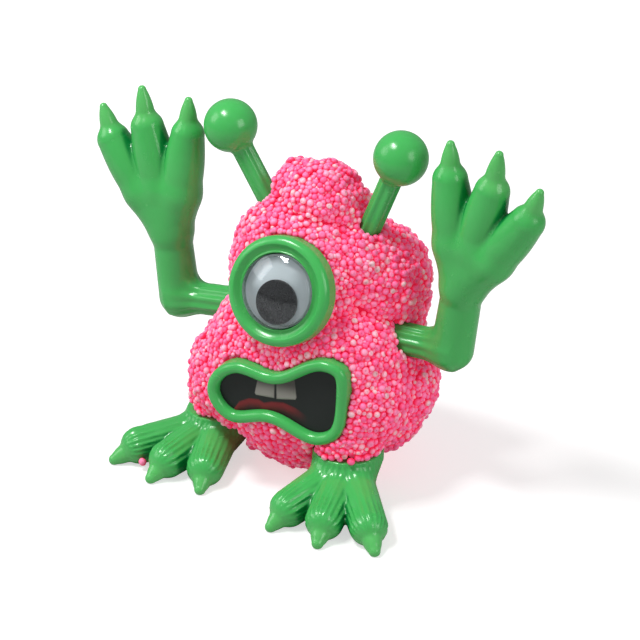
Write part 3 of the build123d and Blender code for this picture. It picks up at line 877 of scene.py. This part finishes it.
def polygon_gap(flat, corners):
    """Distance of flat points to a straight-sided shape, negative inside."""
    best = np.full(len(flat), np.inf)
    inside = np.zeros(len(flat), bool)
    corners = np.array(corners, float)
    for start, end in zip(corners, np.roll(corners, -1, axis=0)):
        run = end - start
        share = np.clip((flat - start) @ run / (run @ run), 0, 1)
        best = np.minimum(best, np.linalg.norm(flat - start - share[:, None] * run, axis=1))
        crossing = (start[1] > flat[:, 1]) != (end[1] > flat[:, 1])
        at = start[0] + (flat[:, 1] - start[1]) * run[0] / (run[1] if run[1] else 1e-12)
        inside ^= crossing & (flat[:, 0] < at)
    return np.where(inside, -best, best)


def outline_gap(flat, inset):
    """Distance of flat points to the lip's outline moved inward by inset, negative inside."""
    return polygon_gap(flat, OUTLINE + OUTLINE_INWARD * inset)


TEETH = (((-6.6, 4.0), (-7.5, -0.4), (-7.2, -0.8), (-2.5, -0.7), (-2.3, 5.2)),
         ((-1.9, 5.2), (-1.85, -0.8), (3.0, 0.0), (3.25, 0.6), (2.6, 7.4)))
TONGUE_TOP = ((-12.9, -5.3), (-11.6, -3.4), (-9.0, -2.0), (-6.5, -1.8), (-5.1, -2.4), (-3.2, -1.7),
              (-0.1, -1.3), (3.0, -2.1), (5.4, -3.3), (8.0, -5.2))
PLATE_GRID = 0.14
TONGUE_HEIGHT, TOOTH_HEIGHT = 0.12, 0.22


def mouth_insert():
    """Printed plate: near-black mouth, two grey teeth and a dark red tongue, slightly raised."""
    inset = LIP_WIDTH + INSERT_GAP + 0.02
    rim = OUTLINE + OUTLINE_INWARD * inset
    back = -LIP_DEPTH + BACK_PLATE + INSERT_GAP
    front = back + INSERT_THICKNESS
    low, high = rim.min(0), rim.max(0)
    across = np.arange(low[0], high[0] + PLATE_GRID, PLATE_GRID)
    upward = np.arange(low[1], high[1] + PLATE_GRID, PLATE_GRID)
    flat = np.stack(np.meshgrid(across, upward, indexing="ij"), axis=-1).reshape(-1, 2)
    gap = outline_gap(flat, inset)
    count = (len(across), len(upward))
    ids = np.arange(len(flat)).reshape(count)
    quads = np.stack([ids[:-1, :-1], ids[1:, :-1], ids[1:, 1:], ids[:-1, 1:]], axis=-1).reshape(-1, 4)
    near_rim = (gap > 0) & (gap < PLATE_GRID * 1.5)
    for i in np.flatnonzero(near_rim):
        distance = np.linalg.norm(rim - flat[i], axis=1)
        flat[i] = rim[distance.argmin()]
    inside = (gap < 0) | near_rim
    quads = quads[inside[quads].all(axis=1) & (gap[quads] < 0).any(axis=1)]
    used = np.zeros(len(flat), bool)
    used[quads.ravel()] = True
    order = np.cumsum(used) - 1
    flat, quads = flat[used], order[quads]
    teeth = [polygon_gap(flat, shape) for shape in TEETH]
    knots_across, knots_up = zip(*TONGUE_TOP)
    tongue_top = np.interp(flat[:, 0], knots_across, knots_up, left=-9, right=-9)
    tongue = smoothstep(0.15, -0.35, flat[:, 1] - tongue_top) * smoothstep(6.5, 0.5, flat[:, 0])
    fade = np.exp(-((tongue_top - flat[:, 1] - 0.8) / 1.3) ** 2)
    colour = np.tile(rgb(MOUTH_DARK), (len(flat), 1))
    tongue_colour = blend_colours(rgb(TONGUE_DARK), rgb(TONGUE_RED), fade)
    colour = colour + (tongue_colour - colour) * tongue[:, None]
    height = TONGUE_HEIGHT * tongue * fade
    for gap_to in teeth:
        mask = smoothstep(0.12, -0.12, gap_to)
        shade = blend_colours(rgb(TOOTH_DARK), rgb(TOOTH_GREY), smoothstep(4.0, 0.3, flat[:, 1]))
        colour = colour + (shade - colour) * mask[:, None]
        height = np.maximum(height, TOOTH_HEIGHT * smoothstep(0.1, -0.5, gap_to))
    top = on_mouth(flat[:, 0], flat[:, 1], front + height)
    bottom = on_mouth(flat[:, 0], flat[:, 1], np.full(len(flat), back))
    quads = quads.tolist()
    edges = dict.fromkeys(edge for quad in quads for edge in zip(quad, quad[1:] + quad[:1]))
    size = len(flat)
    faces = quads + [[i + size for i in reversed(quad)] for quad in quads]
    faces += [[b, a, a + size, b + size] for a, b in edges if (b, a) not in edges]
    piece = add_mesh("mouth_insert_plate", np.concatenate([top, bottom]), faces, PRINT,
                     np.concatenate([colour, np.tile(rgb(MOUTH_DARK), (size, 1))]))
    stand_for(piece, "mouth", "mouth_print", "mouth_insert")


mouth_lip()
mouth_insert()


# ---- Foam ---------------------------------------------------------------------------------------
# how far under the balls' own surface a core ends, how far lumps' cores stay apart, and a core's grid
CORE_SINK, CORE_SEAM, CORE_GRID = 0.75, 0.6, 0.9
# how far a core stays behind a free space, how deep there the lining beads' centres lie, how deep in the foam
# they go, and the height that parts the ones over the feet from the rest
SOCKET_SLACK, SOCKET_BEAD_DEPTH, SOCKET_SIGHT, FEET_BELOW = 1.2, 0.95, 10.0, 14.0
# longer than anything reaches
FAR = 60.0


def tube_room(origin, axis, radius, start, stop):
    """Field of a cylinder about an axis, between two distances along it."""
    def field(points):
        along, away, _ = polar_about(points, origin, axis)
        return np.maximum(away - radius, np.maximum(start - along, along - stop))
    return field


def foot_room(side, ankle, rise):
    """Field of the fan, cuff and peg space of a foot that turns on its peg."""
    reach = max(toe[2] for toe in TOES) + TOE_CLAW_TIP

    def field(points):
        local = (points - ankle) @ turned("Z", side * FOOT_SPLAY) @ np.diag((side, 1, 1))
        away = np.hypot(local[:, 0], local[:, 1])
        angle = np.degrees(np.arctan2(local[:, 0], -local[:, 1]))
        beside = np.maximum(TOES[0][0] - FOOT_TURN - angle, angle - TOES[-1][0] - FOOT_TURN)
        beside = away * np.sin(np.radians(np.clip(beside, -90, 90))) - INSTEP_RADIUS
        fan = np.maximum(np.maximum(away - reach, beside), points[:, 2] - CUFF_TOP)
        cuff = np.maximum(away - CUFF_RADIUS, points[:, 2] - CUFF_TOP - rise)
        peg = np.maximum(away - FOOT_PEG_RADIUS, points[:, 2] - CUFF_TOP - FOOT_PEG_LENGTH)
        return np.minimum(np.minimum(fan, cuff), peg)
    return field


def rooms():
    """Fields of every space the foam has to leave free."""
    spaces = []
    for side, name in ((1, "arm_left"), (-1, "arm_right")):
        elbow, axis = joint_place(name + "_turn")
        spaces.append(tube_room(elbow, -side * axis, ARM_STEM_RADIUS, -FAR, ARM_STEM_LENGTH))
    for side, name in ((1, "antenna_left"), (-1, "antenna_right")):
        centre, inward = antenna_place(side, name)
        spaces.append(tube_room(centre, inward, ANTENNA_STEM_RADIUS, -FAR, ANTENNA_STEM_LENGTH))
    for side, name, rise in ((1, "foot_left", LEFT_CUFF_RISE), (-1, "foot_right", RIGHT_CUFF_RISE)):
        spaces.append(foot_room(side, ankle_on_floor(name), rise))
    for radius, start in ((RING_RADIUS, -RING_DEPTH), (RING_PEG_RADIUS, -RING_DEPTH - RING_PEG_LENGTH)):
        spaces.append(tube_room(EYE_CENTRE, EYE_AXIS, radius, start, FAR))
    spaces.append(mouth_room)
    spaces.append(tube_room(MOUTH_CENTRE, MOUTH_AXIS, MOUTH_PEG_RADIUS, -LIP_DEPTH - MOUTH_PEG_LENGTH, FAR))
    return spaces


def mouth_room(points):
    """The lip's outline run outward from its back."""
    offset = points - MOUTH_CENTRE
    out = offset @ MOUTH_AXIS
    flat = np.stack([offset @ MOUTH_RIGHT, offset[:, 2]], axis=1)
    result = np.maximum(np.linalg.norm(flat, axis=1) - 22, -LIP_DEPTH - out)
    near = np.flatnonzero(result < 2)
    if len(near):
        result[near] = np.maximum(outline_gap(flat[near], 0.0), -LIP_DEPTH - out[near])
    return result


ROOMS = rooms()


def room_gap(points):
    """Distance to the nearest space that must stay free, negative inside one."""
    return np.min([room(points) for room in ROOMS], axis=0)


def swept_gap(points):
    """Distance to where the turning parts pass on their way between their limits, negative in their way."""
    best = np.full(len(points), FAR)
    for name, field in TURNING.items():
        origin, axis = joint_place(name)
        for degrees in np.linspace(*JOINTS[name]["range_deg"], SWEEP_STEPS):
            turned_back = (points - origin) @ turned(Vector(axis), degrees) + origin
            best = np.minimum(best, field(turned_back))
    return best


def balls_field(points, balls):
    """Distance to a lump of pressed balls."""
    gaps = [np.linalg.norm(points - np.array(centre), axis=1) - radius for centre, radius in balls]
    return np.min(gaps, axis=0)


def sphere_points(centre, radius, per_mm2):
    """Evenly spread points on a sphere."""
    count = int(4 * pi * radius ** 2 * per_mm2)
    index = np.arange(count) + 0.5
    height = 1 - 2 * index / count
    turn = index * pi * (3 - sqrt(5))
    flat = np.sqrt(1 - height ** 2)
    unit = np.stack([flat * np.cos(turn), flat * np.sin(turn), height], axis=1)
    return np.array(centre, float) + radius * unit, unit


# the lumps with a collar of beads on a foot's cuff, the collar's rings (inward from the cuff's side) and
# heights, and how far off the lump its beads may be
COLLARS = {
    "foam_cheek_right": ("foot_right", RIGHT_CUFF_RISE),
    "foam_hip_left": ("foot_left", LEFT_CUFF_RISE),
}
COLLAR_RINGS, COLLAR_HEIGHTS, COLLAR_STEPS = (0.15, 1.5, 2.9), np.arange(0.75, 5.5, 0.5), 96
COLLAR_REACH = 2.6
# a lump with more beads than this keeps those behind BACK_FROM in a piece of their own
BACK_FROM, MOST_BEADS = 4.0, 1800
# places tried for beads per square millimetre, how deep in another ball one may be, and the lowest
PLACES, HIDDEN_DEPTH, LOWEST_PLACE = 7.0, 0.3, 0.6


def collar_points(foot_name, rise):
    """Places for beads standing on a foot's cuff, and their outward directions."""
    ankle, _ = joint_place(foot_name + "_turn")
    turn = 2 * pi * np.arange(COLLAR_STEPS) / COLLAR_STEPS
    unit = np.stack([np.cos(turn), np.sin(turn), np.full(COLLAR_STEPS, -0.3)], axis=1)
    flat = unit * (1, 1, 0)
    places = []
    for inward in COLLAR_RINGS:
        for height in COLLAR_HEIGHTS:
            level = (ankle[0], ankle[1], CUFF_TOP + rise + height)
            places.append(level + (CUFF_RADIUS - inward) * flat)
    return np.concatenate(places), np.tile(unit, (len(places), 1))


# smallest and largest radius, spacing as a share of two radii, and extra depth of each round of beads
BEAD_PASSES = (
    (0.86, 1.16, 0.82, 0.0),
    (0.76, 0.96, 0.78, 0.05),
    (0.64, 0.8, 0.7, 0.2),
    (0.62, 0.78, 0.54, 0.5),
)
SOCKET_PASSES = ((0.72, 0.9, 0.8, 0.0), (0.6, 0.78, 0.7, 0.0))
# a bead's centre keeps this share of its radius from a free space; beads are looked up by cells this wide
BEAD_CLEARANCE = 0.75
BEAD_CELL = 2.4


def is_clear(spot, radius, crowding, cell, taken):
    """Whether a bead keeps its distance from every bead already taken near its cell."""
    for x in (cell[0] - 1, cell[0], cell[0] + 1):
        for y in (cell[1] - 1, cell[1], cell[1] + 1):
            for z in (cell[2] - 1, cell[2], cell[2] + 1):
                for other_x, other_y, other_z, other_radius in taken.get((x, y, z), ()):
                    reach = (radius + other_radius) * crowding
                    away = (spot[0] - other_x) ** 2 + (spot[1] - other_y) ** 2 + (spot[2] - other_z) ** 2
                    if away < reach * reach:
                        return False
    return True


def pack_beads(spots, gap, order, draws, passes, taken):
    """Indices, radii and extra depths of the beads that fit, tried in order, round by round."""
    chosen = []
    for smallest, largest, crowding, sunk in passes:
        for i in order:
            radius = smallest + (largest - smallest) * draws[i, 0] ** 1.3
            if gap[i] < radius * BEAD_CLEARANCE:
                continue
            spot = spots[i]
            cell = tuple(int(value // BEAD_CELL) for value in spot)
            if is_clear(spot, radius, crowding, cell, taken):
                taken.setdefault(cell, []).append((spot[0], spot[1], spot[2], radius))
                chosen.append((i, radius, sunk))
    return (np.array(column) for column in zip(*chosen))


def place_beads(name, taken):
    """Centres, outward directions, radii and extra depths of a lump's beads, packed like dropped balls."""
    others = [ball for other in LUMPS if other != name for ball in LUMPS[other]]
    spots, outs = [], []
    for index, (centre, radius) in enumerate(LUMPS[name]):
        points, unit = sphere_points(centre, radius, PLACES)
        rest = [ball for i, ball in enumerate(LUMPS[name]) if i != index]
        keep = (balls_field(points, others + rest) > -HIDDEN_DEPTH) & (points[:, 2] > LOWEST_PLACE)
        spots.append(points[keep])
        outs.append(unit[keep])
    if name in COLLARS:
        points, unit = collar_points(*COLLARS[name])
        field = balls_field(points, others + list(LUMPS[name]))
        keep = (field > -HIDDEN_DEPTH) & (field < COLLAR_REACH)
        spots.append(points[keep])
        outs.append(unit[keep])
    spots, outs = np.concatenate(spots), np.concatenate(outs)
    gap = np.minimum(room_gap(spots), swept_gap(spots))
    order = RANDOM.permutation(len(spots))
    draws = RANDOM.random((len(spots), 3))
    index, radii, sinks = pack_beads(spots, gap, order, draws, BEAD_PASSES, taken)
    return spots[index], outs[index], radii, sinks


# polar angles of a bead's rings of points, and the points in each
BEAD_RINGS = (0.34, 0.72, 1.12, 1.58, 2.2)
BEAD_SEGMENTS = 10
# how far beads lean, their least width and its spread, and the share, least depth and spread of their dimples
BEAD_LEAN, BEAD_WIDTH, BEAD_WIDTH_SPREAD = 0.28, 0.82, 0.2
DIMPLED, DIMPLE_DEPTH, DIMPLE_SPREAD, DIMPLE_ANGLE = 0.5, 0.12, 0.28, 0.33
# how deep beads sit: a share of their radius, a scatter, slow swells of the surface, and the least and most
SEATING, SEATING_SCATTER, SWELL, SEATING_RANGE = 0.42, 0.2, 0.45, (-0.2, 1.3)


def bead_shape():
    """Unit ball with its rings closer on the outer side: points, polar angle of each and faces."""
    points, polar = [(0, 0, 1)], [0.0]
    for ring, angle in enumerate(BEAD_RINGS):
        for i in range(BEAD_SEGMENTS):
            turn = 2 * pi * (i + 0.5 * (ring % 2)) / BEAD_SEGMENTS
            points.append((sin(angle) * cos(turn), sin(angle) * sin(turn), cos(angle)))
            polar.append(angle)
    points.append((0, 0, -1))
    polar.append(pi)
    faces = []
    for i in range(BEAD_SEGMENTS):
        after = (i + 1) % BEAD_SEGMENTS
        faces.append((0, 1 + i, 1 + after))
        for ring in range(len(BEAD_RINGS) - 1):
            low, high = 1 + ring * BEAD_SEGMENTS, 1 + (ring + 1) * BEAD_SEGMENTS
            if ring % 2:
                faces.append((low + i, high + i, high + after))
                faces.append((low + i, high + after, low + after))
            else:
                faces.append((low + i, high + i, low + after))
                faces.append((high + i, high + after, low + after))
        last = 1 + (len(BEAD_RINGS) - 1) * BEAD_SEGMENTS
        faces.append((last + i, len(points) - 1, last + after))
    return np.array(points, float), np.array(polar), np.array(faces)


BEAD_POINTS, BEAD_POLAR, BEAD_FACES = bead_shape()


def build_beads(spots, outs, radii):
    """Points, faces and colours of many beads, each squashed, tilted, dimpled and tinted in its own way, with
    painted shade low on each bead, a paler painted-lit top and painted shade in each dimple.
    """
    number = len(spots)
    tilt = outs + BEAD_LEAN * RANDOM.normal(size=(number, 3))
    tilt /= np.linalg.norm(tilt, axis=1)[:, None]
    side = np.cross(tilt, RANDOM.normal(size=(number, 3)))
    side /= np.linalg.norm(side, axis=1)[:, None]
    other = np.cross(tilt, side)
    squash = BEAD_WIDTH + BEAD_WIDTH_SPREAD * RANDOM.random((number, 3))
    dimpled = RANDOM.random(number) < DIMPLED
    dimple = np.where(dimpled, DIMPLE_DEPTH + DIMPLE_SPREAD * RANDOM.random(number), 0.0)
    sink = 1 - dimple[:, None] * np.exp(-(BEAD_POLAR[None, :] / DIMPLE_ANGLE) ** 2)
    shape = BEAD_POINTS[None] * sink[:, :, None]
    local = shape * (radii[:, None] * squash)[:, None, :]
    points = (spots[:, None, :] + local[:, :, :1] * side[:, None, :] + local[:, :, 1:2] * other[:, None, :]
              + local[:, :, 2:] * tilt[:, None, :])
    tops = np.array([rgb(colour) for colour in FOAM_LIT_TOPS])
    shares = np.array(FOAM_TOP_SHARES)
    top = tops[RANDOM.choice(len(tops), number, p=shares / shares.sum())]
    top = top * (0.93 + 0.12 * RANDOM.random((number, 1)))
    # painted light and shade: each bead runs from painted crevice shade low down, through painted side shade,
    # to its paler painted-lit top
    lift = ((points - spots[:, None, :]) * outs[:, None, :]).sum(2) / radii[:, None]
    share = smoothstep(0.12, 0.85, lift)
    deep = rgb(FOAM_CREVICE_SHADE) + (rgb(FOAM_SIDE_SHADE) - rgb(FOAM_CREVICE_SHADE)) * smoothstep(-0.4, 0.35, lift)[:, :, None]
    colours = deep + (top[:, None, :] - deep) * share[:, :, None]
    # painted shade: darker in the middle of each dimple
    pit_shade = (dimple / 0.4)[:, None] * np.exp(-(BEAD_POLAR[None, :] / 0.3) ** 2)
    colours = colours + (0.4 * top[:, None, :] - colours) * (0.85 * pit_shade)[:, :, None]
    points[:, :, 2] = np.maximum(points[:, :, 2], 0.03)
    faces = BEAD_FACES[None] + (np.arange(number) * len(BEAD_POINTS))[:, None, None]
    return points.reshape(-1, 3), faces.reshape(-1, 3), colours.reshape(-1, 3)


def foam_core(name):
    """Solid foam under the beads of one lump, with the sockets open."""
    names = list(LUMPS)
    earlier = [ball for other in names[:names.index(name)] for ball in LUMPS[other]]

    def field(points):
        solid = balls_field(points, LUMPS[name]) + CORE_SINK
        if earlier:
            solid = np.maximum(solid, -(balls_field(points, earlier) + CORE_SINK + CORE_SEAM))
        solid = np.maximum(solid, 0.3 - points[:, 2])
        near = np.flatnonzero(solid < 3)
        solid[near] = np.maximum(solid[near], SOCKET_SLACK - room_gap(points[near]))
        return solid

    low, high = box_of(name)
    points, faces = surface_nets(field, low - 2, high + 2, CORE_GRID)
    points, _ = settle(field, points, 0.25)
    mottle = 0.5 + 0.5 * waves(points, (3.1, 2.3, 0.7), (-0.9, 2.7, 3.3))
    # painted shade: the core seen between the beads takes the dark crevice colour, mottled a little towards
    # the side shade
    return points, faces, blend_colours(rgb(FOAM_CREVICE_SHADE), rgb(FOAM_SIDE_SHADE), 0.35 * mottle)


def waves(points, first, second):
    """Product of two sine waves through space, from -1 to 1."""
    return np.sin(points @ np.array(first)) * np.sin(points @ np.array(second))


def foam_lump(name, taken):
    """Build one lump, with its back beads as a second piece if it has very many; gives its core's points."""
    spots, outs, radii, sinks = place_beads(name, taken)
    swell = waves(spots, (0.61, 0.27, -0.35), (-0.22, 0.55, 0.48))
    depth = SEATING * radii + SEATING_SCATTER * RANDOM.normal(size=len(radii)) - SWELL * swell + sinks
    spots = spots - outs * np.clip(depth, *SEATING_RANGE)[:, None]
    at_back = (spots[:, 1] > BACK_FROM) & (len(spots) > MOST_BEADS)
    bead_points, bead_faces, bead_colours = build_beads(spots[~at_back], outs[~at_back], radii[~at_back])
    core_points, core_faces, core_colours = foam_core(name)
    faces = core_faces.tolist() + (bead_faces + len(core_points)).tolist()
    piece = add_mesh(name + "_beads", np.concatenate([core_points, bead_points]), faces, FOAM,
                     np.concatenate([core_colours, bead_colours]))
    stand_for(piece, "foam", "bead_foam", name)
    if at_back.any():
        loose_beads(name + "_back_beads", spots[at_back], outs[at_back], radii[at_back])
    return core_points


def loose_beads(name, spots, outs, radii):
    """More beads of the foam, as a piece of their own."""
    points, faces, colours = build_beads(spots, outs, radii)
    piece = add_mesh(name, points, faces.tolist(), FOAM, colours)
    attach(piece, "foam")


taken_spots = {}
core_walls = np.concatenate([foam_lump(lump_name, taken_spots) for lump_name in LUMPS])


def socket_beads(walls, taken):
    """Beads lining the sockets, just behind the space each moving part needs."""
    balls = [ball for lump in LUMPS.values() for ball in lump]
    depth = -balls_field(walls, balls)
    gap = room_gap(walls)
    walls = walls[(gap < SOCKET_SLACK + 0.3) & (depth > CORE_SINK + 0.2) & (depth < SOCKET_SIGHT)]
    spots = np.repeat(walls, 4, axis=0) + 0.4 * RANDOM.normal(size=(4 * len(walls), 3))
    for _ in range(2):
        inward = slope_of(room_gap, spots, 0.1)
        spots = spots + inward * (SOCKET_BEAD_DEPTH - room_gap(spots))[:, None]
    gap = room_gap(spots)
    keep = (np.abs(gap - SOCKET_BEAD_DEPTH) < 0.05) & (spots[:, 2] > 1.0) & (balls_field(spots, balls) < -0.6)
    spots, inward = spots[keep], inward[keep]
    gap = np.minimum(gap[keep], swept_gap(spots))
    order = RANDOM.permutation(len(spots))
    draws = RANDOM.random((len(spots), 3))
    index, radii, _ = pack_beads(spots, gap, order, draws, SOCKET_PASSES, taken)
    spots, outs = spots[index], -inward[index]
    at_feet = spots[:, 2] < FEET_BELOW
    loose_beads("foam_socket_beads", spots[~at_feet], outs[~at_feet], radii[~at_feet])
    loose_beads("foam_underside_beads", spots[at_feet], outs[at_feet], radii[at_feet])


def stray_bead():
    """One loose bead on the toe."""
    low, high = box_of("stray_bead")
    centre = (low + high) / 2
    radius = (high - low).max() / 2
    points, faces, colours = build_beads(centre[None], np.array([[0.2, -0.8, 0.55]]), np.array([radius]))
    piece = add_mesh("stray_bead_ball", points, faces.tolist(), FOAM, colours)
    stand_for(piece, "foot_right", "bead_foam", "stray_bead")


stray_bead()
socket_beads(core_walls, taken_spots)


# ---- Floor, light and camera --------------------------------------------------------------------
CAMERA_AZIMUTH, CAMERA_HEIGHT_ANGLE, CAMERA_DISTANCE = 30.0, 25.0, 0.5755
CAMERA_TARGET = Vector((0.0019, 0.0, 0.0378))
# name, azimuth, elevation, distance, width, depth (metres) and power (watts)
SOFTBOXES = (
    ("key", -38, 64, 0.62, 0.2, 0.1, 2.7),
    ("left", -60, 30, 0.7, 0.35, 0.35, 1.15),
    ("right", 80, 25, 0.7, 0.35, 0.35, 1.3),
)


def direction(azimuth, elevation):
    """Unit vector from the creature; azimuth 0 is its front, positive to its own left."""
    return Vector((sin(radians(azimuth)) * cos(radians(elevation)),
                   -cos(radians(azimuth)) * cos(radians(elevation)), sin(radians(elevation))))


def aim(thing, target):
    """Point a light or camera at a target."""
    thing.rotation_euler = (target - thing.location).to_track_quat("-Z", "Y").to_euler()


def soft_light(name, azimuth, elevation, distance, width, depth, power):
    """A softbox facing the creature."""
    data = bpy.data.lights.new(name, "AREA")
    data.shape = "RECTANGLE"
    data.size = width
    data.size_y = depth
    data.energy = power
    light = bpy.data.objects.new(name, data)
    bpy.context.scene.collection.objects.link(light)
    light.location = CAMERA_TARGET + direction(azimuth, elevation) * distance
    aim(light, CAMERA_TARGET)


def floor():
    """Plain near-white table that glows a little to the camera, more so far away, to keep shadows faint."""
    material, tree, shader = new_material("pale_floor", 0.8)
    shader.inputs["Base Color"].default_value = (0.55, 0.55, 0.55, 1)
    shader.inputs["Specular IOR Level"].default_value = 0.2
    seen = tree.nodes.new("ShaderNodeLightPath")
    place = tree.nodes.new("ShaderNodeTexCoord")
    away = tree.nodes.new("ShaderNodeVectorMath")
    away.operation = "LENGTH"
    far = tree.nodes.new("ShaderNodeMapRange")
    far.inputs["From Min"].default_value = 0.12
    far.inputs["From Max"].default_value = 0.5
    far.inputs["To Min"].default_value = 0.6
    far.inputs["To Max"].default_value = 1.0
    glow = tree.nodes.new("ShaderNodeMath")
    glow.operation = "MULTIPLY"
    tree.links.new(place.outputs["Object"], away.inputs[0])
    tree.links.new(away.outputs["Value"], far.inputs["Value"])
    tree.links.new(seen.outputs["Is Camera Ray"], glow.inputs[0])
    tree.links.new(far.outputs["Result"], glow.inputs[1])
    shader.inputs["Emission Color"].default_value = (1, 1, 1, 1)
    tree.links.new(glow.outputs["Value"], shader.inputs["Emission Strength"])
    mesh = bpy.data.meshes.new("floor")
    half = 6.0
    corners = [(-half, -half, 0), (half, -half, 0), (half, half, 0), (-half, half, 0)]
    mesh.from_pydata(corners, [], [(0, 1, 2, 3)])
    mesh.materials.append(material)
    plane = bpy.data.objects.new("floor", mesh)
    plane.location.z = -0.00005
    bpy.context.scene.collection.objects.link(plane)


def studio():
    """White backdrop, dimmer surroundings, a small key from above and a broad fill from each side."""
    world = bpy.data.worlds.new("studio")
    world.use_nodes = True
    tree = world.node_tree
    seen = tree.nodes.new("ShaderNodeLightPath")
    strength = tree.nodes.new("ShaderNodeMapRange")
    strength.inputs["To Min"].default_value = 0.33
    strength.inputs["To Max"].default_value = 1.0
    tree.links.new(seen.outputs["Is Camera Ray"], strength.inputs["Value"])
    tree.links.new(strength.outputs["Result"], tree.nodes["Background"].inputs["Strength"])
    tree.nodes["Background"].inputs["Color"].default_value = (1, 1, 1, 1)
    bpy.context.scene.world = world
    for name, *settings in SOFTBOXES:
        soft_light(name, *settings)
    bpy.context.scene.view_settings.view_transform = "Standard"


def camera():
    """Long lens at the viewing angle."""
    data = bpy.data.cameras.new("camera")
    data.lens = 135
    data.sensor_width = 36
    thing = bpy.data.objects.new("camera", data)
    bpy.context.scene.collection.objects.link(thing)
    thing.location = CAMERA_TARGET + direction(CAMERA_AZIMUTH, CAMERA_HEIGHT_ANGLE) * CAMERA_DISTANCE
    aim(thing, CAMERA_TARGET)
    bpy.context.scene.camera = thing


floor()
studio()
camera()
